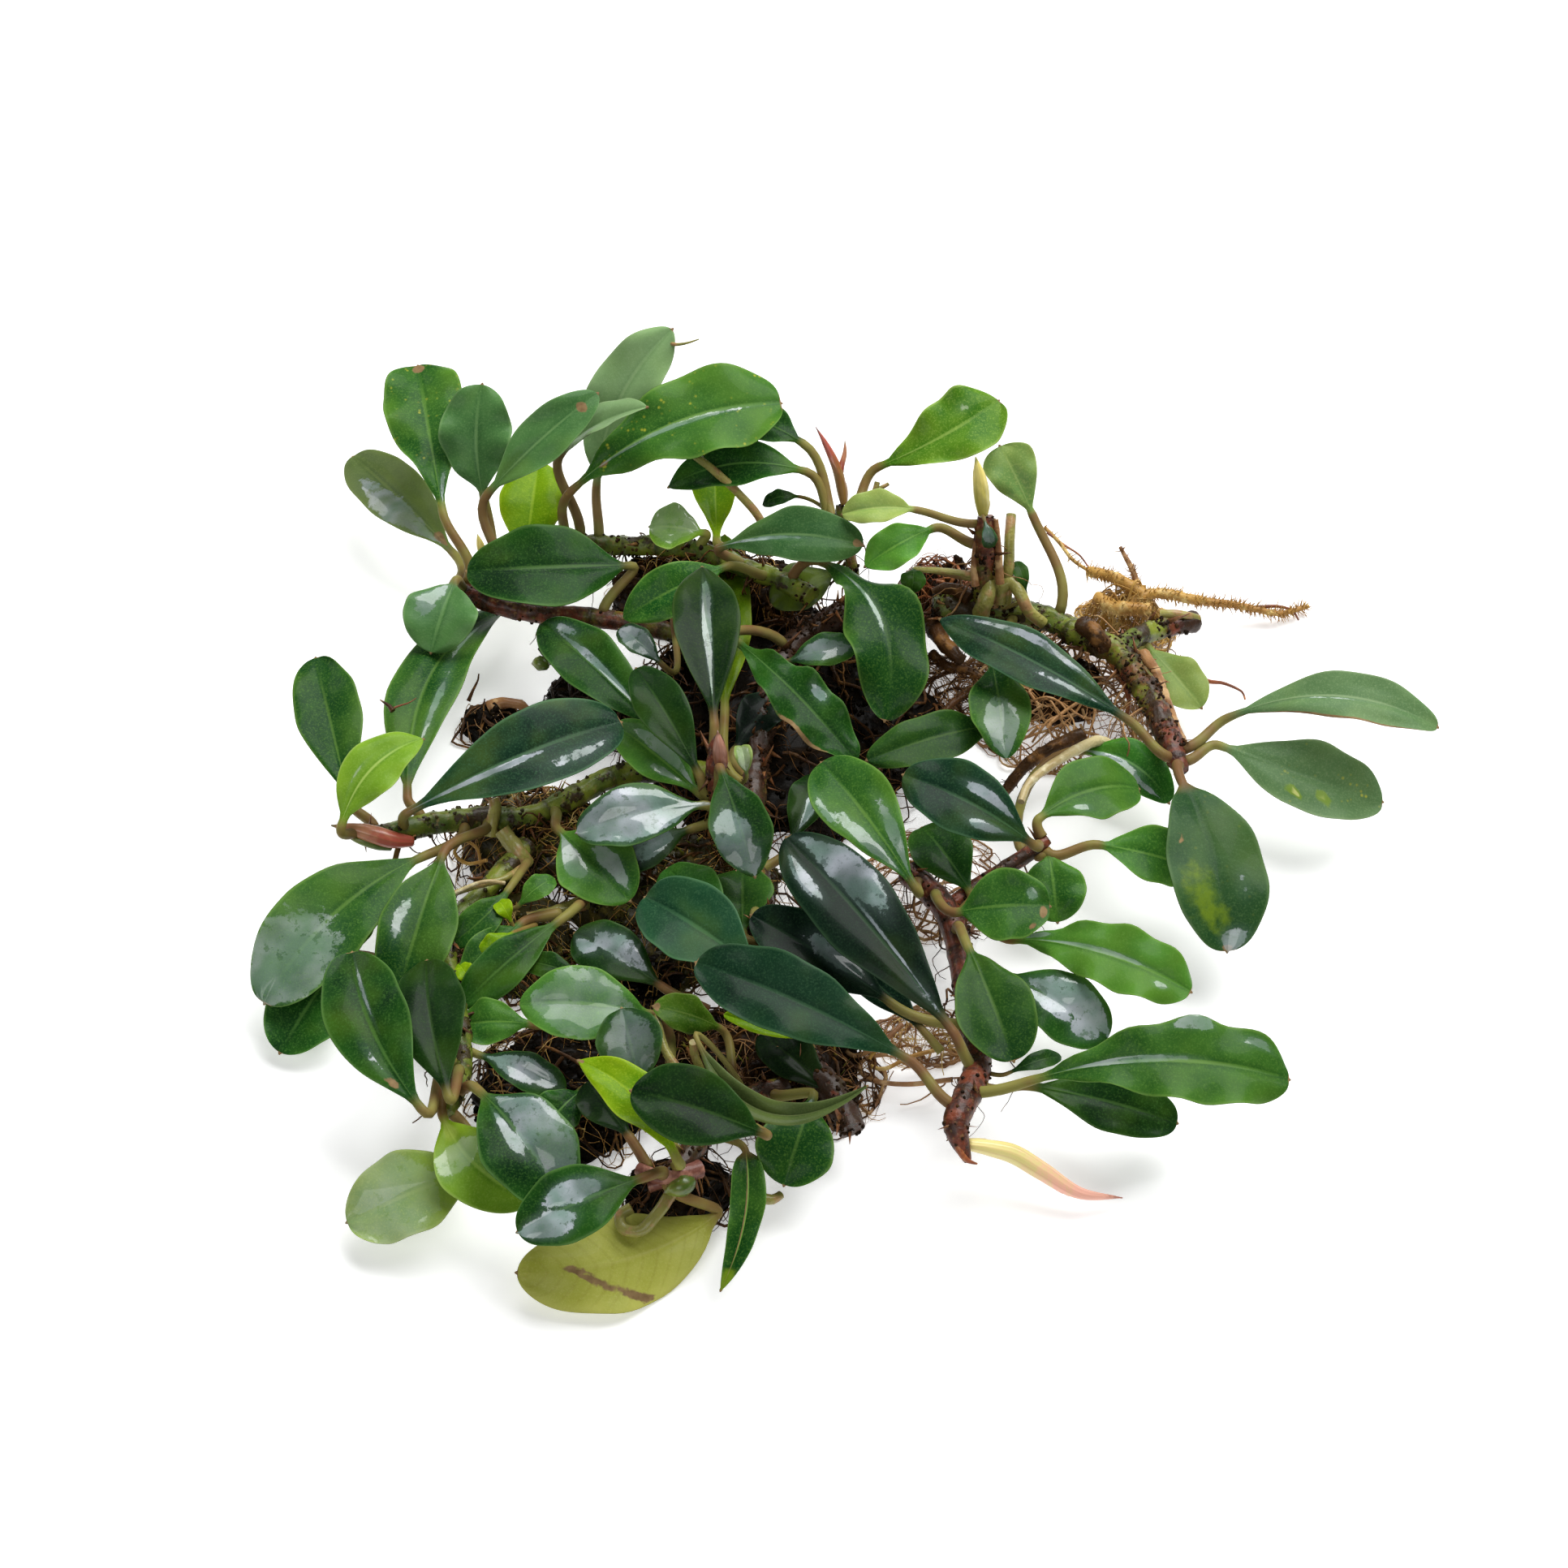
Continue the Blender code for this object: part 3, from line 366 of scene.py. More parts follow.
# small forms scattered over a surface: soil crumbs, or pointed leaflets of moss and scales
def makeScatterTree(name, leafy):
    tree, g, given = geometryTree(name, {
        "density": ("Float", 1e6), "seed": ("Int", 1), "smallest": ("Float", 0.0002),
        "largest": ("Float", 0.0006), "patchiness": ("Float", 0.5)})

    def chance(low, high, seed=given["seed"], kind="FLOAT_VECTOR"):
        first, output = (0, 0) if kind == "FLOAT_VECTOR" else (2, 1)
        return g.add("FunctionNodeRandomValue", {"data_type": kind}, {first: low, first + 1: high, 8: seed}, output)

    spot = g.add("GeometryNodeInputPosition", {}, {})
    patch = g.add("ShaderNodeTexNoise", {}, {0: spot, 2: 220.0, 3: 2.0}).over(given["patchiness"], 0.7)
    points = g.add("GeometryNodeDistributePointsOnFaces", {"distribute_method": "RANDOM"},
                   {0: given["Geometry"], 4: given["density"] * patch, 6: given["seed"]})
    if leafy:
        form = g.add("GeometryNodeMeshCone", {}, {0: 4, 1: 2, 2: 1, 3: 0.05, 4: 0.42, 5: 2.2})
        turn = chance((-0.9, -0.9, 0.0), (0.9, 0.9, 6.28))
        squeeze = chance((0.8, 0.25, 0.8), (1.2, 0.4, 1.5))
    else:
        form = g.add("GeometryNodeMeshIcoSphere", {}, {0: 1.0, 1: 1})
        knobs = g.add("ShaderNodeTexNoise", {}, {0: spot, 2: 1.7, 3: 2.0})
        form = g.add("GeometryNodeSetPosition", {}, {0: form, 3: g.scaled(spot, (knobs - 0.5) * 1.1)})
        turn = chance((0.0, 0.0, 0.0), (6.28, 6.28, 6.28))
        squeeze = chance((0.6, 0.6, 0.45), (1.2, 1.0, 0.9))
    size = chance(given["smallest"], given["largest"], given["seed"] + 1, "FLOAT")
    turned = g.add("FunctionNodeRotateEuler", {"space": "LOCAL"}, {0: g.pick(points, 2), 1: turn})
    shape = g.add("GeometryNodeInstanceOnPoints", {}, {0: points, 2: form, 5: turned, 6: g.scaled(squeeze, size)})
    finishTree(g, shape, given["material"])
    return tree


tubeTree = makeTubeTree()
crumbTree = makeScatterTree("crumbsOnSurface", False)
mossTree = makeScatterTree("mossOnSurface", True)


def newObject(name, mesh):
    made = bpy.data.objects.new(name, mesh)
    bpy.context.scene.collection.objects.link(made)
    return made


# every point gets its own number or triple, for the materials and trees to read
def giveAttribute(piece, name, values):
    values = np.array(values, np.float32)
    kind, field = ("FLOAT_VECTOR", "vector") if values.ndim == 2 else ("FLOAT", "value")
    piece.data.attributes.new(name, kind, "POINT").data.foreach_set(field, values.ravel())


# runs a tree on a mesh and keeps the result as a plain mesh, under the same name
def grown(source, tree, values):
    name = source.name
    modifier = source.modifiers.new(tree.name, "NODES")
    modifier.node_group = tree
    for item in tree.interface.items_tree:
        if item.in_out == "INPUT" and item.name in values:
            modifier[item.identifier] = values[item.name]
    bpy.context.view_layer.update()
    graph = bpy.context.evaluated_depsgraph_get()
    mesh = bpy.data.meshes.new_from_object(source.evaluated_get(graph))
    mesh.name = name
    bpy.data.objects.remove(source, do_unlink=True)
    return newObject(name, mesh)


def lineMesh(name, strands):
    points, edges, thick = [], [], []
    for strand, radii in strands:
        first = len(points)
        points += [tuple(p) for p in strand]
        thick += list(radii)
        edges += [(first + i, first + i + 1) for i in range(len(strand) - 1)]
    mesh = bpy.data.meshes.new(name)
    mesh.from_pydata(points, edges, [])
    made = newObject(name, mesh)
    giveAttribute(made, "thick", thick)
    return made


def tubes(name, strands, material, form):
    return grown(lineMesh(name, strands), tubeTree, {**form, "material": material})


def scattered(name, piece, tree, seed, form, material):
    return grown(newObject(name, piece.data.copy()), tree, {**form, "seed": seed, "material": material})


# a closed mesh from rings of points with a pole at each end, its faces turned outwards
def closedForm(name, points, count, material):
    last = len(points) - 2 - count
    around = [(i, (i + 1) % count) for i in range(count)]
    faces = [(low + i, low + j, low + count + j, low + count + i) for low in range(0, last, count) for i, j in around]
    for i, j in around:
        faces += [(j, i, last + count), (last + i, last + j, last + count + 1)]
    mesh = bpy.data.meshes.new(name)
    mesh.from_pydata([tuple(p) for p in points], [], faces)
    mesh.materials.append(material)
    shape = bmesh.new()
    shape.from_mesh(mesh)
    bmesh.ops.recalc_face_normals(shape, faces=shape.faces)
    shape.to_mesh(mesh)
    shape.free()
    mesh.shade_smooth()
    return newObject(name, mesh)


# the plant lies on the floor: nothing reaches under it
def keep(piece, slot, *nodes):
    places = np.empty(len(piece.data.vertices) * 3, np.float32)
    piece.data.vertices.foreach_get("co", places)
    places[2::3] = np.maximum(places[2::3], 0.02 * mm)
    piece.data.vertices.foreach_set("co", places)
    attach(piece, "root")
    if nodes:
        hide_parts(*nodes)


def nodeName(name):
    return "".join("_" + c.lower() if c.isupper() or c.isdigit() else c for c in name)


# creeping stems and side branches: radius in mm at the root end, tip is the share of it at the other, ripe is how
# red-brown each end is, dirt how much soil clings, girth the share of the solid's radius that shows, lumps how uneven
# it is, roots how many leave it, crumbs and scales how many sit on a square metre
stems = {
    "stemMain": dict(radius=1.8, tip=0.9, ripe=(0.7, 0.6), dirt=0.95, lumps=0.8, roots=90, crumbs=3.4e6,
        scales=3e5, route=((1120, 735, 8.5), (1050, 752, 8.5), (985, 790, 8.5), (950, 850, 8.5),
        (935, 920, 8.5), (925, 1000, 8.5), (930, 1080, 8.5), (945, 1160, 8.5), (960, 1240, 8.5),
        (995, 1310, 8.5), (1030, 1350, 8.5), (1050, 1392, 8))),
    "stemNorthwest": dict(radius=1.35, tip=0.5, ripe=(0.45, 0.85), dirt=0.22, lumps=0.35, roots=8, crumbs=4e5,
        scales=5e4, route=((900, 800, 8), (840, 783, 8), (780, 768, 8), (720, 760, 8.5), (672, 757, 9.5),
        (625, 749, 10.5), (590, 737, 11.5), (556, 716, 12.5))),
    "stemNorth": dict(radius=1.5, tip=0.6, ripe=(0.0, 0.35), dirt=0.32, girth=0.9, lumps=1.0, roots=60,
        crumbs=1.4e6, scales=2e5, route=((1000, 735, 13.2), (960, 715, 12.5), (915, 698, 12), (870, 682, 11),
        (820, 672, 10), (770, 672, 9.5), (730, 672, 9.5), (690, 668, 10))),
    "stemEast": dict(radius=1.75, tip=0.6, ripe=(0.0, 0.8), dirt=0.5, lumps=0.9, roots=60, crumbs=2e6,
        scales=2e5, route=((1150, 748, 9), (1215, 750, 9), (1250, 752, 9), (1290, 762, 9), (1335, 785, 9.5),
        (1375, 803, 10), (1405, 840, 10.5), (1428, 880, 11), (1447, 925, 12), (1455, 950, 12))),
    "stemWest": dict(radius=1.5, tip=0.35, ripe=(0.3, 0.0), dirt=0.36, lumps=0.6, roots=50, crumbs=1.5e6,
        scales=1.5e5, route=((890, 955, 8), (830, 950, 8), (765, 955, 8), (700, 985, 8), (650, 1008, 8),
        (600, 1008, 9), (530, 1015, 10), (475, 1028, 11), (428, 1028, 12))),
    "stemSoutheast": dict(radius=1.7, tip=0.3, ripe=(0.95, 1.2), dirt=0.35, lumps=0.3, roots=26, crumbs=1e6,
        scales=1e5, route=((1120, 1075, 8.5), (1165, 1120, 9), (1182, 1170, 9), (1195, 1250, 9),
        (1205, 1310, 10), (1192, 1350, 11.5), (1178, 1385, 11.5), (1192, 1430, 9))),
    "stemSouth": dict(radius=1.4, tip=0.5, ripe=(0.6, 0.6), dirt=0.6, lumps=0.6, roots=24, crumbs=1.5e6,
        scales=2e5, route=((972, 1338, 8), (930, 1350, 8), (880, 1385, 8), (838, 1437, 9), (812, 1452, 9.5))),
    "stemSouthwest": dict(radius=1.35, tip=0.6, ripe=(0.1, 0.3), dirt=0.5, lumps=0.6, roots=40, crumbs=1.5e6,
        scales=1.5e5, route=((650, 1040, 8), (610, 1085, 8), (560, 1140, 8.5), (552, 1200, 8.5),
        (566, 1260, 8.5), (568, 1320, 9), (552, 1372, 10))),
    "branchNortheast": dict(radius=1.25, tip=0.6, growsFrom="stemMain", ripe=(0.5, 0.4), dirt=0.3, girth=0.7,
        route=((1050, 752, 8.5), (1052, 722, 11.5), (1048, 690, 14.5), (1040, 655, 17), (1035, 622, 20))),
    "branchCentre": dict(radius=1.4, tip=0.25, growsFrom="stemMain", ripe=(0.4, 0.9), dirt=0.2, girth=0.8,
        route=((925, 1000, 8.5), (900, 1000, 10.5), (884, 985, 13), (880, 950, 16.5), (886, 905, 20.5))),
    "branchSpathe": dict(radius=1.7, tip=0.7, growsFrom="stemEast", ripe=(0.4, 0.7), dirt=0.15, girth=0.85,
        route=((1215, 750, 9), (1212, 728, 12.5), (1212, 703, 16), (1214, 672, 19.5), (1214, 636, 23))),
    "branchCutEnd": dict(radius=1.5, tip=0.95, growsFrom="stemEast", ripe=(-0.2, 0.9), dirt=0.66, girth=0.95,
        route=((1375, 803, 10), (1400, 785, 8.5), (1430, 775, 7), (1475, 765, 6))),
    "branchMiddleEast": dict(radius=1.3, tip=0.6, growsFrom="stemSoutheast", ripe=(0.9, 0.8), dirt=0.5,
        girth=0.8, route=((1165, 1120, 9), (1210, 1088, 8.5), (1255, 1060, 9.5), (1292, 1034, 11))),
}
stemForm = {"step": 3.2, "nodeSpacing": 5.2, "swelling": 0.10, "taperFrom": 0.9}


def stemRadius(stem, fraction, length):
    node = 0.5 + 0.5 * math.cos(2 * math.pi * fraction * length / (stemForm["nodeSpacing"] * mm))
    radius = stem["radius"] * mm * (1 - stemForm["swelling"] + stemForm["swelling"] * node)
    late = max(0.0, (fraction - stemForm["taperFrom"]) / (1 - stemForm["taperFrom"]))
    return radius * (1 - (1 - stem["tip"]) * late ** 2)


stemRoutes = {name: placeRoute(stem["route"], stemForm["step"]) for name, stem in stems.items()}

# every leaf starts from these: belly is where it is widest, point 0.5 round to 1 sharp, arch and sweep bend the
# midrib in mm, roll turns it in degrees, fold lifts its sides, own is False where its solid is part of the stem
# the brightness factor scales a leaf's colours: partly its own tone, partly painted light and shade for how lit it
# looks
leafDefaults = dict(belly=0.58, point=0.62, arch=1.2, sweep=0.0, roll=0.0, fold=0.15, ripple=0.18, waves=3.0,
                    bend=0.38, base=1.25, own=True, tint=0.3, pale=0.4, fleck=0.0, veil=1.0, bright=1.0,
                    film=(), scar=(), glow=())


def leafOn(stem, along, neck, tip, width, **more):
    return {**leafDefaults, "stem": stem, "along": along, "neck": neck, "tip": tip, "width": width, **more}


def sprout(foot, neck, tip, width, **more):
    return {**leafDefaults, "foot": foot, "neck": neck, "tip": tip, "width": width, **more}


# leaves by shoot: stem and foot's place along it, neck and tip of the blade, width in mm; the wet patches (gloss
# with a painted reflection), scar and glow are patches: place along and across the blade, half length, half width
# and strength
leaves = {
    "Northwest": (
        leafOn("stemNorthwest", 0.95, (545, 629, 18), (515, 451, 22), 11.4, belly=0.72, arch=1.5, point=0.42,
            ripple=0.7, look="fresh", fleck=0.4, film=[(0.14, 0.5, 0.1, 0.3, 0.7)],
            scar=[(0.97, 0, 0.03, 0.25)], bright=1.14),
        leafOn("stemNorthwest", 0.985, (560, 683, 11), (435, 563, 8), 9, belly=0.6, arch=1, point=0.52,
            look="olive", film=[(0.42, -0.45, 0.34, 0.5, 0.8)], scar=[(0.12, 0.1, 0.05, 0.5)], tint=1,
            bright=1.3),
        leafOn("stemNorthwest", 0.87, (596, 612, 17.5), (594, 474, 28), 10.4, belly=0.54, arch=1.4, sweep=-0.6,
            roll=-8, ripple=0.6, look="grey", pale=0.5, tint=0.75, bright=1.35),
        leafOn("stemNorthwest", 0.8, (602, 607, 22), (736, 485, 31.5), 6.9, belly=0.55, arch=2.2, roll=10,
            look="grey", pale=0.6, scar=[(0.86, 0.1, 0.03, 0.3)], tint=0.85, bright=1.5),
        leafOn("stemNorthwest", 0.7, (647, 692, 11.5), (664, 570, 16), 9.4, belly=0.56, arch=0.8, own=False,
            look="lime"),
        leafOn("stemNorthwest", 0.46, (776, 697, 14), (575, 704, 16), 12.5, belly=0.5, arch=2, sweep=-1, roll=4,
            look="deep", pale=0.5, bright=1.2),
        leafOn("stemNorthwest", 0.95, (560, 718, 16), (531, 804, 12.5), 10.2, belly=0.5, arch=1, fold=0.28,
            own=False, look="grey", tint=0.9, film=[(0.35, 0.5, 0.3, 0.35, 0.75)], bright=1.3),
    ),
    "North": (
        leafOn("stemNorth", 0.86, (735, 598, 15), (828, 406, 33), 9.6, belly=0.5, arch=1.5, sweep=-1.9,
            ripple=0.5, point=0.6, look="mist", tint=0.8, bright=1.35),
        leafOn("stemNorth", 0.93, (694, 556, 22.5), (797, 502, 31), 6, belly=0.5, arch=1, fold=0.5, roll=-25,
            point=0.7, own=False, look="mist", tint=0.9),
        leafOn("stemNorth", 0.985, (706, 603, 20), (962, 497, 27), 13.4, belly=0.7, arch=2.6, sweep=-2,
            ripple=0.7, waves=3.4, look="fresh", pale=0.9, fleck=0.5, film=[(0.45, 0.06, 0.42, 0.07, 0.8)],
            scar=[(0.16, 0.1, 0.02, 0.2)], tint=0.6, point=0.45),
        leafOn("stemNorth", 0.3, (887, 675, 16.5), (1063, 672, 21), 8, belly=0.6, arch=2.2, sweep=-0.9,
            point=0.55, roll=6, look="grey", tint=0.45, pale=0.7, film=[(0.3, 0.14, 0.3, 0.1, 0.9)],
            scar=[(0.97, 0, 0.03, 0.3)], bright=1.12),
        leafOn("stemNorth", 0.2, (895, 698, 15.2), (768, 762, 12), 7.4, belly=0.55, arch=2, roll=-10, point=0.8,
            own=False, look="fresh", tint=0.15, bright=1.3),
        leafOn("stemNorth", 0.38, (883, 667, 14), (880, 556, 15), 7.5, belly=0.85, arch=-0.8, fold=0.3,
            own=False, look="lime"),
        leafOn("stemNorth", 0.48, (868, 657, 14), (801, 649, 13.5), 7, arch=0.6, own=False, look="light",
            film=[(0.6, 0.25, 0.4, 0.8, 1.3)], tint=0.8, bright=1.3),
        leafOn("stemNorth", 0.1, (1010, 692, 17), (1090, 888, 11), 11, belly=0.6, arch=3.4, sweep=-4, point=0.6,
            ripple=1.3, roll=-4, look="fresh", tint=0, pale=0.2, film=[(0.35, 0.06, 0.25, 0.08, 0.75)],
            waves=2.5, bright=0.85),
    ),
    "Northeast": (
        leafOn("branchNortheast", 0.8, (989, 546, 22), (905, 510, 22), 6.4, belly=0.55, own=False, look="deep",
            pale=0.5, bright=1.4),
        leafOn("branchNortheast", 0.7, (993, 581, 20), (824, 600, 17.5), 7.4, belly=0.48, arch=2.2, sweep=1.2,
            point=0.8, own=False, look="deep", pale=0.6, bright=1.75),
        leafOn("branchNortheast", 0.88, (1083, 575, 21), (1230, 494, 27), 10, belly=0.72, arch=1.8, sweep=1.4,
            point=0.5, look="light", tint=0.1, pale=0.5, film=[(0.75, -0.4, 0.08, 0.2, 0.5)], ripple=0.5,
            bright=0.9),
    ),
    "Spathe": (
        leafOn("branchSpathe", 0.93, (1127, 628, 24), (1038, 634, 23.5), 5, belly=0.5, fold=0.35, own=False,
            look="sage", tint=0.9, bright=1.25),
        leafOn("branchSpathe", 0.72, (1150, 651, 20), (1066, 698, 18.5), 6.2, belly=0.56, arch=1, own=False,
            look="fresh", tint=0.8, point=0.8, bright=1.6),
    ),
    "East": (
        leafOn("stemEast", 0.335, (1272, 634, 18), (1232, 550, 24), 7.5, belly=0.76, arch=0.5, point=0.55,
            look="sage", tint=0.1),
        leafOn("stemEast", 0.96, (1390, 887, 15), (1158, 763, 20), 7.8, arch=2.2, point=0.85, look="blue",
            pale=0.5, film=[(0.5, 0.7, 0.4, 0.15, 0.75), (0.3, -0.3, 0.2, 0.2, 0.6)], bright=1.6),
        leafOn("stemEast", 0.935, (1514, 884, 14), (1771, 896, 16), 7, belly=0.62, arch=4, sweep=-2, point=0.55,
            look="mist", tint=0.1, pale=0.8, film=[(0.45, 0.1, 0.25, 0.06, 0.5)], scar=[(0.5, 1, 0.4, 0.08)]),
        leafOn("stemEast", 0.97, (1504, 919, 12), (1703, 988, 6.5), 10.2, belly=0.56, arch=1.8, sweep=0.9,
            point=0.55, look="mist", tint=0, fleck=0.6, pale=-0.8, glow=[(0.45, 0.55, 0.03, 0.12, 1.2),
            (0.49, 0.65, 0.02, 0.06, 1.4), (0.62, 0.42, 0.03, 0.1, 1.4), (0.66, 0.55, 0.025, 0.09, 1.1),
            (0.84, 0.55, 0.015, 0.05, 1.2)], bright=1.08),
        leafOn("stemEast", 0.995, (1458, 967, 14.5), (1512, 1172, 8), 12.6, arch=2.6, sweep=-0.5, point=0.52,
            roll=-6, look="grey", tint=0.2, film=[(0.95, -0.3, 0.06, 0.5, 0.9), (0.65, -0.5, 0.1, 0.2, 0.5)],
            scar=[(0.33, 0.7, 0.02, 0.06, 0.9), (0.38, 0.6, 0.015, 0.05, 0.9), (0.99, 0, 0.02, 0.3)], fleck=0.1,
            bright=0.78, pale=-0.7, base=0.7, veil=0.9, glow=[(0.72, 0.42, 0.22, 0.4, 0.6),
            (0.82, 0.05, 0.12, 0.25, 0.5)]),
        leafOn("branchCutEnd", 0.05, (1414, 797, 7), (1480, 872, 5), 7, belly=0.62, arch=0.5, own=False,
            look="sage", tint=0.4, bright=0.88),
    ),
    "Middle": (
        leafOn("stemEast", 0.12, (1222, 818, 14.5), (1240, 935, 13), 8.4, belly=0.55, arch=1.6, point=0.8,
            own=False, look="fresh", tint=0.1, film=[(0.75, 0.05, 0.26, 0.5, 1.2)], veil=0.6, bright=0.98),
        leafOn("stemEast", 0.22, (1232, 893, 10.5), (1068, 937, 12), 7.2, belly=0.5, arch=1.5, own=False,
            look="fresh", tint=0.25, bright=0.64),
        leafOn("branchMiddleEast", 0.9, (1272, 1040, 14.5), (1113, 955, 20.5), 9.8, arch=2.4, point=0.6,
            look="blue", film=[(0.42, 0.45, 0.18, 0.16, 0.95), (0.35, -0.5, 0.14, 0.16, 0.95)], veil=1.2,
            bright=1.15),
        leafOn("stemSoutheast", 0.06, (1127, 1093, 15), (1012, 940, 19), 9.8, belly=0.66, arch=2, point=0.5,
            look="fresh", film=[(0.3, 0.5, 0.24, 0.22, 0.9), (0.35, -0.55, 0.22, 0.22),
            (0.7, -0.8, 0.2, 0.15, 0.6)]),
        leafOn("branchMiddleEast", 0.97, (1281, 1008, 12.5), (1403, 972, 10), 9.4, belly=0.55, sweep=-1.2,
            point=0.5, look="fresh", tint=0.6, film=[(0.35, 0.55, 0.08, 0.16, 0.8)]),
        leafOn("branchMiddleEast", 0.8, (1335, 925, 7), (1440, 989, 5), 7, belly=0.5, sweep=-1.5, own=False,
            look="deep", tint=0.6, bright=2.2, film=[(0.3, 0.3, 0.3, 0.25, 1.1), (0.75, 0.5, 0.15, 0.15, 0.9)]),
        leafOn("branchMiddleEast", 0.93, (1354, 1041, 10.5), (1475, 1072, 7), 8.2, belly=0.55, arch=1,
            own=False, look="fresh", tint=0.5, bright=1.4),
        leafOn("branchMiddleEast", 0.86, (1292, 1052, 10), (1303, 1136, 6.5), 8.6, belly=0.5, arch=0.8,
            own=False, look="fresh", tint=0.4, bright=1.2),
    ),
    "Southeast": (
        leafOn("stemSoutheast", 0.72, (1172, 1268, 15), (969, 1032, 21), 10.75, belly=0.6, arch=2.6, point=0.6,
            look="blue", pale=0.8, film=[(0.72, 0.5, 0.2, 0.35, 1.1), (0.4, 0.12, 0.3, 0.05, 0.8),
            (0.8, -0.5, 0.12, 0.2, 0.8), (0.16, 0, 0.1, 0.5, 0.5)], bright=0.58, veil=0.9),
        leafOn("stemSoutheast", 0.86, (1117, 1304, 15), (858, 1186, 20), 10.4, belly=0.62, arch=2.6, point=0.6,
            ripple=0.35, waves=4, look="blue", pale=0.3, tint=0.7),
        leafOn("stemSoutheast", 0.8, (1272, 1331, 13.5), (1588, 1330, 14), 11, belly=0.68, arch=3.6, sweep=-1.3,
            point=0.5, ripple=0.8, waves=4, look="fresh", pale=0.9, film=[(0.36, -0.06, 0.22, 0.09, 1.2),
            (0.62, -0.85, 0.07, 0.15, 0.9), (0.86, -0.7, 0.06, 0.14, 0.8)], tint=0.5),
        leafOn("stemSoutheast", 0.76, (1268, 1338, 8.5), (1450, 1384, 4), 8, arch=1.6, point=0.6, own=False,
            look="deep", bright=1.1),
        leafOn("stemSoutheast", 0.2, (1248, 1158, 9.5), (1467, 1222, 11), 9, belly=0.66, arch=2.4, sweep=-0.8,
            point=0.5, ripple=0.7, waves=4, look="fresh", tint=0.95, pale=0.7,
            film=[(0.45, -0.05, 0.28, 0.07, 1.1), (0.12, -0.6, 0.08, 0.25, 0.9), (0.85, 0.35, 0.04, 0.12, 0.9)],
            bright=1.1),
        leafOn("stemSoutheast", 0.13, (1180, 1124, 13.5), (1293, 1117, 15), 9.67, belly=0.5, point=0.5,
            look="fresh", tint=0.5, film=[(0.82, -0.4, 0.06, 0.2, 0.8)], scar=[(0.93, 0.35, 0.04, 0.3, 0.9),
            (0.8, 0.75, 0.04, 0.12, 0.8)]),
        leafOn("stemSoutheast", 0.26, (1193, 1168, 15), (1249, 1307, 13), 9.88, belly=0.6, arch=1.4, point=0.5,
            look="fresh", tint=0.2, bright=0.66),
        leafOn("stemSoutheast", 0.34, (1238, 1200, 9.5), (1364, 1280, 5), 9.03, belly=0.56, arch=1.6, point=0.6,
            own=False, look="deep", film=[(0.6, -0.35, 0.35, 0.4, 1.1), (0.45, 0.2, 0.2, 0.2),
            (0.8, 0.2, 0.12, 0.4, 0.9)], bright=1.3, veil=1.3, tint=0.7),
        leafOn("stemSoutheast", 0.55, (1098, 1236, 11.5), (926, 1128, 15.5), 8.4, belly=0.6, arch=1.5,
            own=False, look="blue", film=[(0.4, 0.3, 0.2, 0.4, 0.9)], bright=0.7, veil=1.4),
    ),
    "Centre": (
        leafOn("branchCentre", 0.72, (880, 890, 19), (865, 699, 19.5), 9.2, arch=2.4, point=0.95, look="fresh",
            tint=0.1, pale=1, film=[(0.5, 0, 0.3, 0.12, 1.1), (0.75, 0.1, 0.12, 0.12, 0.8)], bright=0.32),
        leafOn("branchCentre", 0.45, (862, 955, 15.5), (784, 824, 18), 6.7, belly=0.56, arch=1.8, own=False,
            look="deep", tint=0.4, bright=0.66),
        leafOn("branchCentre", 0.2, (862, 978, 13), (757, 893, 12), 7, belly=0.5, arch=1, own=False,
            look="fresh", film=[(0.45, 0.35, 0.3, 0.22, 1.2), (0.3, -0.4, 0.14, 0.2, 0.9)], tint=0.6, veil=0.8),
        leafOn("branchCentre", 0.3, (866, 992, 15), (711, 1026, 14), 8.6, belly=0.55, arch=1.8, look="deep",
            film=[(0.55, 0, 0.5, 0.62, 1.6)], veil=1.4),
        leafOn("branchCentre", 0.55, (888, 948, 20), (930, 1080, 15), 7.92, arch=1.6, point=0.75, look="deep",
            film=[(0.68, 0.35, 0.22, 0.5, 1.3), (0.85, -0.1, 0.12, 0.5)], veil=0.75),
        leafOn("stemWest", 0.2, (812, 902, 11.5), (668, 768, 13), 8.6, belly=0.6, arch=1.8, look="deep",
            film=[(0.5, 0.12, 0.3, 0.1, 1.1), (0.85, 0.4, 0.1, 0.3, 0.6)], bright=1.3),
        leafOn("stemWest", 0.47, (690, 1025, 11), (776, 1110, 9), 10.4, belly=0.5, own=False, look="fresh",
            tint=0.5, film=[(0.3, 0.42, 0.24, 0.24, 1.1), (0.66, -0.3, 0.22, 0.22, 1.05)], veil=0.9, pale=-0.8,
            bright=1.05),
        leafOn("stemMain", 0.2, (905, 788, 15.5), (1055, 938, 12), 7.6, belly=0.62, arch=2.2, ripple=1, waves=4,
            point=0.7, look="deep", tint=0.5, pale=0.5, film=[(0.6, -0.6, 0.06, 0.2, 0.8)],
            scar=[(0.7, 0.95, 0.15, 0.1)], bright=1.2),
        leafOn("stemMain", 0.44, (893, 874, 11), (893, 660, 8.5), 7.6, belly=0.45, arch=0.6, own=False,
            look="lime", bright=0.5),
        leafOn("stemMain", 0.66, (935, 1198, 14), (795, 1106, 14.5), 11, arch=1.6, point=0.55, own=False,
            look="blue", tint=0.95, bright=1.55),
    ),
    "West": (
        leafOn("stemWest", 0.8, (502, 982, 11.5), (627, 748, 5.5), 9.4, belly=0.4, arch=3, sweep=-4.2,
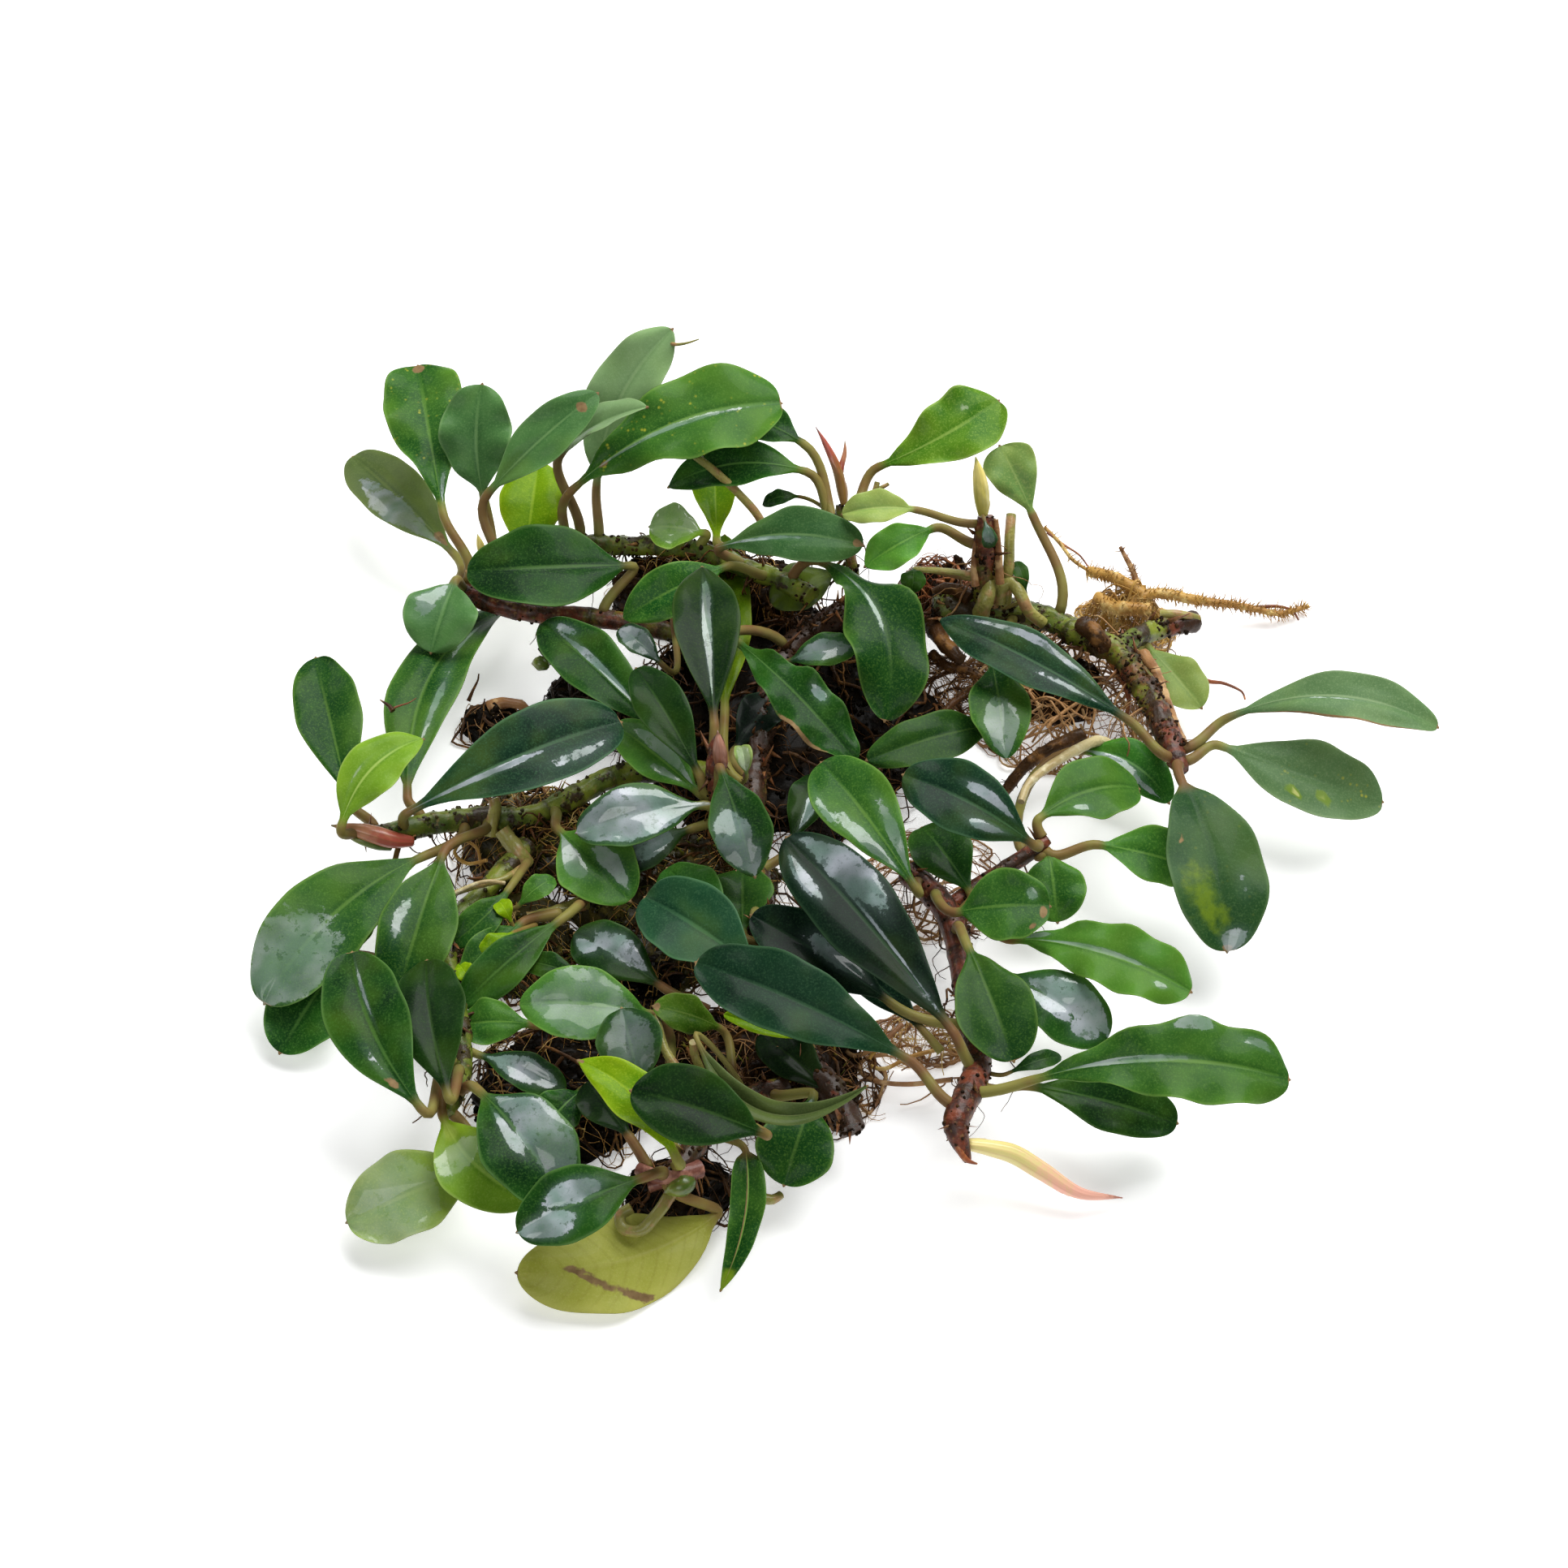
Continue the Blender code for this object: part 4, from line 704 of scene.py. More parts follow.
            point=0.9, look="fresh", tint=0.1, film=[(0.35, 0.5, 0.2, 0.12, 0.8), (0.7, 0.3, 0.2, 0.1, 0.7)]),
        leafOn("stemWest", 0.93, (430, 985, 12), (389, 811, 15), 8.9, point=0.55, look="fresh", tint=0,
            bright=0.85),
        leafOn("stemWest", 0.985, (421, 1017, 17), (521, 911, 21), 7.6, belly=0.5, arch=1.8, sweep=-1.6,
            point=0.8, own=False, look="light", pale=1, film=[(0.4, -0.3, 0.2, 0.08, 0.6)], tint=0.9,
            bright=0.9),
        leafOn("stemWest", 0.86, (503, 1001, 15), (765, 890, 17), 11.4, belly=0.64, arch=2.8, point=0.55,
            look="blue", pale=0.5, film=[(0.3, 0.12, 0.28, 0.1), (0.75, 0.55, 0.15, 0.2, 0.6)], bright=1.5),
        leafOn("stemWest", 0.64, (545, 1054, 13.5), (488, 1238, 9), 9.96, belly=0.5, arch=1.6, look="fresh",
            tint=0.1, film=[(0.5, 0.5, 0.15, 0.2, 0.7)], bright=0.85),
        leafOn("stemWest", 0.7, (520, 1056, 11), (326, 1236, 6), 12.46, arch=2.2, sweep=1.6, point=0.5,
            look="fresh", film=[(0.82, 0.1, 0.24, 0.9)], tint=0.15, veil=0.75, bright=1.05),
    ),
    "Southwest": (
        leafOn("stemSouthwest", 0.83, (519, 1366, 13.5), (434, 1174, 17), 10.4, arch=1.8, sweep=-1.6,
            point=0.55, look="deep", film=[(0.72, 0.1, 0.2, 0.05, 0.8), (0.35, -0.4, 0.12, 0.1, 0.6)],
            scar=[(0.18, -0.5, 0.03, 0.25)], bright=1.4),
        leafOn("stemSouthwest", 0.87, (552, 1350, 14), (526, 1184, 14.5), 9.2, arch=1.6, sweep=-0.6,
            look="deep", tint=0.4, bright=0.55),
        leafOn("stemSouthwest", 0.93, (592, 1346, 14.5), (697, 1487, 10), 11.6, belly=0.5, arch=3, sweep=-0.4,
            point=0.6, look="deep", film=[(0.55, -0.45, 0.34, 0.4, 1.3), (0.4, 0.2, 0.2, 0.12, 0.9)],
            bright=1.25, veil=0.9),
        leafOn("stemSouthwest", 0.93, (546, 1376, 10.5), (652, 1478, 6.5), 9.4, belly=0.5, arch=2, sweep=1.8,
            own=False, look="light", tint=0.6, film=[(0.36, 0.2, 0.1, 0.7)], glow=[(0.12, 0, 0.26, 1.2, 0.95)],
            bright=0.95, veil=0.7),
        leafOn("stemSouthwest", 0.99, (578, 1443, 7), (428, 1506, 4), 11.02, belly=0.5, arch=0.8, point=0.55,
            look="sage", tint=0.4, film=[(0.68, 0, 0.36, 0.9, 1.2)], veil=0.55, glow=[(0.2, 0, 0.26, 1.2, 0.8)],
            base=0.75),
        leafOn("stemSouthwest", 0.5, (415, 1190, 4.5), (345, 1297, 2), 9.8, belly=0.55, arch=0.8, own=False,
            look="deep", bright=1.9),
    ),
    "South": (
        leafOn("stemSouth", 0.7, (802, 1250, 12), (640, 1237, 15), 9.8, belly=0.56, arch=2, point=0.75,
            look="fresh", tint=0.6, film=[(0.55, 0, 0.3, 0.75, 1.3)], veil=0.5, bright=1.2),
        leafOn("stemSouth", 0.8, (790, 1345, 14), (766, 1243, 18), 8.28, arch=1, own=False, look="deep",
            tint=0.4, film=[(0.5, 0, 0.4, 0.7, 1.1)], veil=0.3, bright=0.8),
        leafOn("stemSouth", 0.9, (832, 1424, 15.5), (713, 1307, 20), 6.4, belly=0.5, arch=1.4, sweep=1.4,
            point=0.9, own=False, look="lime", scar=[(0.99, 0, 0.03, 0.4)], bright=0.88),
        leafOn("stemSouth", 0.42, (943, 1398, 18), (778, 1344, 22), 9.6, arch=1.6, point=0.6, look="deep",
            tint=0.4, bend=0.12, bright=0.7),
        leafOn("stemSouth", 0.1, (1002, 1352, 10), (966, 1460, 6.5), 9.8, belly=0.62, arch=1.4, point=0.6,
            look="fresh", film=[(0.15, 0.1, 0.12, 0.5, 0.7)], tint=0),
        leafOn("stemSouth", 0.25, (860, 1284, 17.5), (1069, 1338, 16), 3.2, belly=0.4, arch=-1, sweep=6.2,
            fold=0.6, point=0.9, own=False, look="olive", tint=0.9, pale=1, base=0.8, bright=0.85),
        leafOn("stemSouth", 0.55, (919, 1420, 8), (888, 1590, 3.5), 4.4, belly=0.3, arch=0.8, sweep=-1.4,
            fold=0.5, point=0.9, own=False, look="fresh", tint=0, pale=2, base=0.35,
            scar=[(0.5, 0.05, 0.6, 0.035, 0.9)], bright=0.95, glow=[(0.97, 0, 0.1, 1.2, 0.85)]),
        leafOn("stemSouth", 0.97, (880, 1500, 2.6), (637, 1568, 4.5), 12, belly=0.54, arch=1, sweep=-2.4,
            fold=-0.15, point=0.6, look="straw", scar=[(0.76, 0.05, 0.035, 0.075, 0.8),
            (0.72, -0.06, 0.035, 0.075, 0.8), (0.68, -0.18, 0.035, 0.075, 0.8), (0.64, -0.3, 0.035, 0.075, 0.8),
            (0.6, -0.42, 0.035, 0.075, 0.8), (0.56, -0.54, 0.035, 0.075, 0.8), (0.52, -0.66, 0.035, 0.075, 0.8),
            (0.48, -0.78, 0.035, 0.075, 0.8), (0.44, -0.9, 0.035, 0.075, 0.8), (0.32, -0.55, 0.012, 0.05, 1.2)],
            base=0.8, ripple=0.5, waves=2, bright=0.95),
        leafOn("stemSouth", 0.985, (790, 1452, 14), (638, 1518, 12), 9.2, belly=0.56, arch=1.4, point=0.6,
            look="deep", film=[(0.5, 0.3, 0.2, 0.3), (0.8, -0.3, 0.2, 0.4)], bright=1.2, veil=1.5),
    ),
}

# leaves too small or too hidden for the solids start from a place instead of a stem
smallLeaves = {
    "Centre1": sprout((950, 835, 9), (971, 816, 10), (1055, 797, 12), 5, look="deep", film=[(0.5, 0, 0.4, 0.6)],
        bright=1.6),
    "Centre2": sprout((925, 965, 9), (905, 925, 9), (960, 855, 9), 6, look="blue", bright=0.35),
    "Centre3": sprout((935, 1075, 9), (975, 1040, 10), (1010, 955, 10), 5.5, look="deep",
        film=[(0.5, 0.3, 0.3, 0.3, 0.9)], bright=0.55),
    "Centre4": sprout((905, 1003, 9), (850, 1022, 10), (746, 1070, 9), 6, look="deep",
        film=[(0.55, 0, 0.35, 0.6)], bright=0.45),
    "Centre5": sprout((942, 1180, 9), (895, 1160, 11), (822, 1070, 12), 8.2, look="deep", tint=0.6, bright=1.3),
    "Centre6": sprout((938, 1165, 9), (915, 1150, 9.5), (915, 1072, 10), 8, look="fresh", tint=0.4, bright=0.8),
    "Centre7": sprout((872, 1245, 8), (815, 1215, 11), (708, 1150, 10), 7.7, look="deep",
        film=[(0.5, 0.3, 0.3, 0.4, 0.9), (0.8, -0.3, 0.15, 0.3, 0.8)], bright=0.65),
    "Centre8": sprout((905, 972, 14), (920, 955, 16.5), (913, 920, 18), 2.4, fold=0.7, look="sage", tint=0.2,
        film=[(0.5, 0, 0.4, 0.7, 0.9)]),
    "North1": sprout((1052, 722, 10), (1030, 705, 12), (951, 745, 11), 7, look="olive", tint=0.6,
        glow=[(0.6, 0, 0.5, 1, 0.75)], bright=0.55),
    "North2": sprout((1036, 640, 17), (985, 612, 16), (940, 622, 15), 2.5, look="deep"),
    "North3": sprout((1212, 716, 14), (1126, 702, 15.5), (1124, 731, 14.5), 3.4, look="deep", tint=0.6),
    "North4": sprout((830, 745, 9), (815, 818, 14), (763, 775, 15), 4, look="deep", film=[(0.5, 0, 0.4, 0.8)],
        bright=0.7, veil=0.6),
    "North5": sprout((1235, 752, 10), (1264, 731, 13), (1252, 692, 15), 2.2, look="deep"),
    "Middle1": sprout((1180, 1130, 9), (1196, 1100, 10), (1136, 1020, 9), 8, look="deep", bright=1.3),
    "Middle2": sprout((1205, 1320, 10), (1243, 1322, 11), (1307, 1302, 10), 2.5, look="deep"),
    "West1": sprout((492, 1040, 9), (462, 1132, 8), (430, 1170, 8), 3, look="light"),
    "West2": sprout((650, 1062, 9), (626, 1097, 11), (556, 1164, 9), 4.9, sweep=-0.8, look="fresh", tint=0.1,
        bright=0.88),
    "West3": sprout((606, 1112, 9), (639, 1116, 10), (683, 1083, 11), 3.4, look="fresh", bright=1.2),
    "West4": sprout((640, 1160, 8), (630, 1136, 10), (614, 1110, 11), 2.4, look="lime"),
    "West5": sprout((660, 1140, 8), (632, 1150, 10), (592, 1184, 9), 3.2, look="lime"),
    "West6": sprout((600, 1240, 7), (584, 1218, 8), (565, 1188, 9), 2.6, look="lime"),
    "West7": sprout((730, 1100, 8), (689, 1135, 10.5), (568, 1240, 8), 6.4, look="deep", tint=0.5,
        scar=[(0.42, 0.3, 0.02, 0.1, 0.8)], bright=1.25),
    "West8": sprout((690, 1125, 8), (642, 1138, 9), (574, 1216, 8), 6.4, look="fresh", tint=0.2),
    "Spathe1": sprout((1212, 640, 22), (1213, 641, 25), (1219, 675, 21.5), 2.2, look="deep",
        film=[(0.4, 0, 0.4, 0.8, 0.9)]),
    "Southwest1": sprout((720, 1262, 7), (655, 1262, 8), (566, 1264, 7), 6.2, look="fresh", tint=0.4,
        bright=1.15),
    "Southwest2": sprout((765, 1210, 8), (717, 1205, 9), (645, 1185, 9), 3.6, look="deep"),
    "Southwest3": sprout((568, 1290, 8), (591, 1300, 8), (697, 1343, 7), 5, look="deep",
        film=[(0.5, 0, 0.4, 0.6, 0.9)], bright=1.25, veil=1.4),
    "South1": sprout((760, 1330, 7), (716, 1345, 8), (668, 1395, 7), 6, look="deep", pale=0.8, bright=1.9),
    "South2": sprout((800, 1440, 8), (775, 1400, 10), (722, 1335, 10), 6, look="deep", bright=0.4),
    "South3": sprout((1010, 1330, 8), (992, 1281, 11), (892, 1250, 13), 2.4, sweep=-0.4, fold=0.5, look="lime"),
    "South4": sprout((905, 1335, 8), (887, 1267, 10), (805, 1240, 14), 5, look="light",
        scar=[(0.97, 0, 0.05, 0.5)], bright=0.5),
    "Southeast1": sprout((1160, 1296, 8), (1136, 1268, 9.5), (1046, 1184, 9.5), 4.8, look="blue", tint=0.1),
    "South5": sprout((1040, 1370, 8), (1025, 1347, 9), (936, 1275, 9), 6, look="deep", bright=0.3),
}

leafForm = {"stalkFoot": 0.75, "stalk": 0.62, "thick": 0.72, "thin": 0.34, "sink": 0.4, "stalkRings": 11,
            "bladeRings": 36, "smallRings": 26, "groove": 0.24, "grooveWidth": 0.95, "rib": 0.12, "ribWidth": 0.22,
            "keel": 2.4, "keelWidth": 0.6, "wave": 0.5, "waveAlong": 3.1, "waveAcross": 1.3, "margin": 0.08,
            "marginWaves": 5.2, "nib": 0.3, "edge": 0.26, "lean": 0.45, "fullWidth": 6.0, "bladeFrom": 0.10}
halfPlaces = (-1, -0.985, -0.95, -0.88, -0.77, -0.63, -0.48, -0.34, -0.21, -0.12, -0.055)
topPlaces = (*halfPlaces, 0, *(-a for a in reversed(halfPlaces)))
underPlaces = (0.96, 0.80, 0.47, 0.15, 0, -0.15, -0.47, -0.80, -0.96)
across = np.array(topPlaces + underPlaces, float)
isUnder = np.array([0.0] * len(topPlaces) + [1.0] * len(underPlaces))


def bladeHalf(leaf, u):
    if u <= leaf["belly"]:
        share = math.sin(math.pi / 2 * u / leaf["belly"]) ** leaf["base"]
    else:
        share = max(0.0, math.cos(math.pi / 2 * (u - leaf["belly"]) / (1 - leaf["belly"]))) ** (leaf["point"] * 0.8)
    return leaf["width"] / 2 * mm * share


def patchField(patches, across, along):
    field = np.zeros_like(across)
    for middle, side, length, breadth, *strength in patches:
        away = np.sqrt(((along - middle) / length) ** 2 + ((across - side) / breadth) ** 2)
        field = np.maximum(field, (strength or [1.0])[0] * np.clip(1.35 - 0.75 * away, 0, 1.1))
    return field


# where the leaf starts and the way it leaves its stem
def leafFoot(leaf, neck):
    if "stem" not in leaf:
        foot = at(*leaf["foot"])
        return foot, (neck - foot).normalized()
    stem, route = stems[leaf["stem"]], stemRoutes[leaf["stem"]]
    centre, heading = pointAlong(route, leaf["along"])
    outward = neck - centre
    outward = (outward - heading * outward.dot(heading)).normalized()
    return centre + outward * (stemRadius(stem, leaf["along"], routeLength(route)) - leafForm["sink"] * mm), outward


# half width and half thickness of the leaf at u, which runs from -1 to 0 on the stalk and 0 to 1 on the blade
def leafSize(leaf, u, small):
    foot, stalk = leafForm["stalkFoot"] * small * mm, leafForm["stalk"] * small * mm
    if u < 0:
        half = foot + (stalk - foot) * (u + 1)
        return half, half
    inner = min(u, 1.0)
    edge = leafForm["edge"] * small * mm
    half = max(bladeHalf(leaf, inner), stalk * (1 - u / 0.5), 0.0)
    half = max(half, edge - 9 * (u - 1) * small * mm if u >= 1 else edge)
    deep = (leafForm["thick"] + (leafForm["thin"] - leafForm["thick"]) * inner) / 2 * small ** 0.5 * mm
    return half, min(max(deep, stalk * (1 - u / 0.12)), half * 0.9)


# how far each point of a cross-section lies over or under the midrib's plane
def leafLift(leaf, u, half, deep, small, seed):
    blade = min(1.0, u / leafForm["bladeFrom"]) if u >= 0 else 0.0
    s = across * half / mm
    edge = np.abs(across)
    body = np.sqrt(np.clip(1 - across ** 2, 0, 1)) * (1 - blade * 0.45 * (1 - np.exp(-(s / 1.6) ** 2))) * deep
    fade = blade * (1 - 0.75 * min(u, 1.0))
    keel = np.exp(-(s / leafForm["keelWidth"]) ** 2) * leafForm["rib"] * leafForm["keel"] * fade * small * mm
    valley = (leafForm["rib"] * np.exp(-(s / leafForm["ribWidth"]) ** 2)
              - leafForm["groove"] * np.exp(-(s / leafForm["grooveWidth"]) ** 2)) * mm
    lift = np.where(isUnder > 0, -body - keel, body + valley * fade * small)
    lift += leaf["fold"] * (1.6 * edge - 0.6 * edge ** 2.2) * half * blade
    ripple = leaf["ripple"] * mm * min(1.0, half / (2 * mm)) * blade
    phase = 2 * math.pi * leaf["waves"] * u + seed
    lift += ripple * edge ** 2 * np.where(across < 0, math.sin(phase), math.sin(phase + 2.1))
    if blade > 0:
        size = leafForm["wave"] * small * min(1.0, half / (2.5 * mm)) * blade * mm
        spots = [(u * leafForm["waveAlong"] + seed, a * leafForm["waveAcross"], seed * 0.37) for a in across]
        lift += size * edge ** 0.8 * np.array([noise.noise(Vector(spot)) * 1.6 for spot in spots])
    spots = [(u * leafForm["marginWaves"], math.copysign(2.0, a) + seed, 3.3) for a in across]
    uneven = [1 + leafForm["margin"] * blade * noise.noise(Vector(spot)) for spot in spots]
    return lift, across * uneven * half


def makeLeaf(name, leaf):
    seed = sum(ord(c) * (i + 3) for i, c in enumerate(name)) % 977
    neck, tip = at(*leaf["neck"]), at(*leaf["tip"])
    foot, outward = leafFoot(leaf, neck)
    axis = (tip - neck).normalized()
    up = upward.lerp(toEye, leafForm["lean"])
    up = (up - axis * up.dot(axis)).normalized()
    up.rotate(Matrix.Rotation(math.radians(leaf["roll"]), 3, axis))
    side = axis.cross(up).normalized()

    def bladePoint(u):
        bend = 4 * u * (1 - u) * mm
        return neck.lerp(tip, u) + up * (leaf["arch"] * bend) + side * (leaf["sweep"] * bend)

    start = (bladePoint(0.02) - neck).normalized()
    end = (bladePoint(1.0) - bladePoint(0.98)).normalized()
    bend = (neck - foot).length * leaf["bend"]
    stalk = (foot, foot + outward * bend, neck - start * bend, neck)
    small = min(1.0, leaf["width"] / leafForm["fullWidth"])
    nib = leafForm["nib"] * small * mm
    neckAt, rings = leafForm["stalkRings"], leafForm["bladeRings" if "stem" in leaf else "smallRings"]
    stations = [(bezier(stalk, i / neckAt), i / neckAt - 1) for i in range(neckAt)]
    for i in range(rings + 1):
        u = math.sin(math.pi / 2 * i / (rings + 0.6))
        stations.append((bladePoint(u), u))
    stations += [(tip + end * nib * share, 1 + share * 0.02) for share in (0.0, 0.45, 0.8, 1.0)]

    places = [place for place, _ in stations]
    tangents = [(b - a).normalized() for a, b in zip(places, places[1:])]
    tangents = [outward] + [(a + b).normalized() for a, b in zip(tangents, tangents[1:])] + [tangents[-1]]
    sides = [None] * len(places)
    for index in [*range(neckAt, len(places)), *range(neckAt - 1, -1, -1)]:
        near = side if index == neckAt else sides[index - 1] if index > neckAt else sides[index + 1]
        sides[index] = (near - tangents[index] * near.dot(tangents[index])).normalized()
    points, spots = [], []
    for (place, u), tangent, square in zip(stations, tangents, sides):
        rise = square.cross(tangent).normalized()
        lift, sideways = leafLift(leaf, u, *leafSize(leaf, u, small), small, seed)
        points.append(np.array(place) + sideways[:, None] * np.array(square) + lift[:, None] * np.array(rise))
        spots.append(np.stack([across, np.full_like(across, u), isUnder], 1))
    points = np.concatenate(points + [np.array([foot]), np.array([tip + end * nib * 1.05])])
    spots = np.concatenate(spots + [np.array([[0, -1, 0], [0, 1.02, 0]])])
    made = closedForm(name, points, len(across), leafMaterials[leaf["look"]])

    alongBlade = np.clip(spots[:, 1], -1, 1)
    film, scar, glow = (patchField(leaf[key], spots[:, 0], alongBlade) for key in ("film", "scar", "glow"))
    nibs = np.clip((spots[:, 1] - 0.992) * 200, 0, 1)
    tint = np.clip(leaf["tint"] + 0.12 * np.sin(alongBlade * 4 + seed), 0, 1)
    # partly painted light and shade: the factor also lightens or darkens each leaf for how lit it looks
    toneAndPaintedLightGain = (0.88 + 0.2 * random.Random(seed).random()) * leaf["bright"]
    same = np.ones(len(spots))
    giveAttribute(made, "spot", spots)
    giveAttribute(made, "paint", np.stack([film * (spots[:, 2] < 0.5), np.maximum(scar, nibs * 0.9), tint], 1))
    giveAttribute(made, "habit", np.stack([same * leaf["pale"], same * leaf["fleck"], same * toneAndPaintedLightGain], 1))
    giveAttribute(made, "wear", np.stack([glow, same * leaf["veil"], same * 0], 1))
    if "stem" in leaf:
        parent = stems[leaf["stem"]].get("growsFrom", leaf["stem"])
        keep(made, "leaf", nodeName(name if leaf["own"] else parent))
    else:
        keep(made, "leaf")


for shoot, shootLeaves in leaves.items():
    for number, entry in enumerate(shootLeaves, 1):
        makeLeaf(f"leaf{shoot}{number}", entry)
for name, entry in smallLeaves.items():
    makeLeaf("leafSmall" + name, entry)
print("leaves made:", sum(len(shootLeaves) for shootLeaves in leaves.values()) + len(smallLeaves))

# what stems are made of: young and old skin in two shades each, rings at the leaf scars, bark, clinging soil
stemTints = {"young": (122, 132, 40), "youngDark": (64, 84, 24), "old": (116, 56, 34), "oldDark": (60, 30, 19),
             "ring": (34, 22, 14), "bark": (150, 122, 74), "soil": (20, 14, 9), "soilPale": (66, 42, 24)}


def stemMaterial():
    made, g = newMaterial("stemSkin")
    tint = {key: colour(*value) for key, value in stemTints.items()}
    ripe, dirt, ring = (g.number(key) for key in ("ripe", "dirt", "ring"))
    broad = g.noise(260, 3)
    fine = g.noise(1500, 4)
    young = g.mix(broad.over(0.3, 0.7), tint["young"], tint["youngDark"])
    old = g.mix(g.noise(700, 3).over(0.35, 0.65), tint["old"], tint["oldDark"])
    base = g.mix((ripe + (fine - 0.5) * 0.5 + (broad - 0.5) * 0.9).over(0.3, 0.7), young, old)
    base = g.mix(ring * 0.7, base, tint["ring"])
    base = g.mix(fine.over(0.56, 0.7) * 0.45, base, tint["bark"])
    soil = g.noise(330, 5, 0.6).over(0.68 - dirt * 0.34, 0.74 - dirt * 0.34)
    base = g.mix(soil * 0.92, base, g.mix(fine, tint["soil"], tint["soilPale"]))
    height = g.noise(900, 4) + ring * -0.5 + soil * 0.5
    finishMaterial(g, {"Coat Weight": 0.12, "Coat Roughness": 0.18, "Specular IOR Level": 0.3},
                   {"Base Color": base, "Roughness": 0.45 + (broad - 0.5) * 0.3,
                    "Normal": g.bump(0.7, 0.0004, height)})
    return made


def rootMaterial(name, first, second, third, wet=0.1):
    made, g = newMaterial(name)
    first, second, third = (colour(*tint) for tint in (first, second, third))
    middle = g.noise(420, 3)
    fine = g.noise(2400, 3)
    base = g.mix(g.noise(130, 2).over(0.38, 0.6), first, second)
    base = g.mix(middle.over(0.5, 0.66), base, third)
    base = g.mix(fine * 0.4, base, g.mix(0.5, third, (0.01, 0.008, 0.005, 1)))
    finishMaterial(g, {"Coat Weight": wet, "Coat Roughness": 0.15, "Specular IOR Level": wet},
                   {"Base Color": base, "Roughness": 0.5 + (middle - 0.5) * 0.3,
                    "Normal": g.bump(0.7, 0.0002, fine + middle)})
    return made


def budMaterial(name, lower, upper, tipColour):
    made, g = newMaterial(name)
    lower, upper, tipColour = (colour(*tint) for tint in (lower, upper, tipColour))
    place, along, _ = g.triple("spot")
    streak = g.noise(1.0, 3, 0.6, g.stretched((900, 900, 260)))
    fine = g.noise(1600, 3)
    base = g.mix((along + (streak - 0.5) * 0.7).over(0.25, 0.75), lower, upper)
    base = g.mix((along + (fine - 0.5) * 0.12).over(0.88, 0.97), base, tipColour)
    ridges = (place * 62.8).sin()
    base = g.mix(ridges.over(0.3, 1.0) * 0.2, base, tipColour)
    finishMaterial(g, {"Coat Weight": 0.3, "Coat Roughness": 0.15},
                   {"Base Color": base, "Roughness": 0.36 + (fine - 0.5) * 0.2,
                    "Normal": g.bump(0.4, 0.0001, ridges * 0.3 + streak)})
    return made


# three colours and how wet it looks
rootLooks = {
    # brown is the roots' own colour, partly darkened as painted shade for roots lying under the leaves
    "brown": ((74, 45, 23), (32, 19, 10), (132, 92, 48), 0.1),
    "tan": ((170, 124, 76), (116, 72, 40), (196, 160, 112), 0.2),
    "gold": ((198, 154, 74), (160, 112, 50), (224, 194, 124), 0.15),
    "black": ((34, 24, 16), (20, 14, 10), (78, 54, 32), 0.14),
    "pale": ((200, 184, 132), (166, 142, 92), (216, 206, 164), 0.3),
    "red": ((150, 76, 40), (96, 46, 26), (186, 118, 64), 0.3),
}
soilLooks = {
    "dark": ((6, 5, 3), (14, 10, 6), (34, 23, 12), 0.04),
    "brown": ((33, 21, 11), (16, 10, 6), (76, 50, 25), 0.05),
    "green": ((50, 46, 16), (26, 23, 10), (92, 82, 30), 0.14),
}
stemSkin = stemMaterial()
rootSkins = {name: rootMaterial("roots" + name.title(), *look) for name, look in rootLooks.items()}
soilSkins = {name: rootMaterial("soil" + name.title(), *look) for name, look in soilLooks.items()}
mossSkin = rootMaterial("mossSkin", (116, 120, 34), (66, 84, 20), (168, 150, 62), 0.1)
sheathSkin = rootMaterial("sheathSkin", (126, 78, 44), (74, 42, 26), (172, 124, 76), 0.2)
stalkSkin = rootMaterial("stalkSkin", (164, 160, 80), (128, 130, 56), (168, 130, 84), 0.35)
shootSkin = rootMaterial("shootSkin", (142, 84, 70), (104, 56, 46), (184, 130, 108), 0.25)
# lower and upper end, and the very tip
budSkins = {
    "bud": budMaterial("budSkin", (140, 104, 52), (178, 84, 66), (110, 50, 38)),
    "spathe": budMaterial("spatheSkin", (188, 176, 82), (238, 220, 124), (150, 148, 70)),
    "pink": budMaterial("spathePinkSkin", (226, 212, 136), (250, 186, 164), (196, 130, 110)),
    "green": budMaterial("budGreenSkin", (70, 96, 30), (110, 124, 44), (110, 70, 40)),
    "red": budMaterial("budRedSkin", (164, 76, 60), (186, 128, 92), (124, 104, 56)),
    "rose": budMaterial("budRoseSkin", (148, 92, 70), (180, 128, 108), (112, 78, 54)),
}

rootCourse = {"crowd": 1.2, "until": 0.86, "around": 1.9, "away": 0.8, "gravity": 0.30, "restless": 0.34,
              "step": 0.75, "steps": (7, 22), "thick": (0.07, 0.26), "thinning": 0.6}


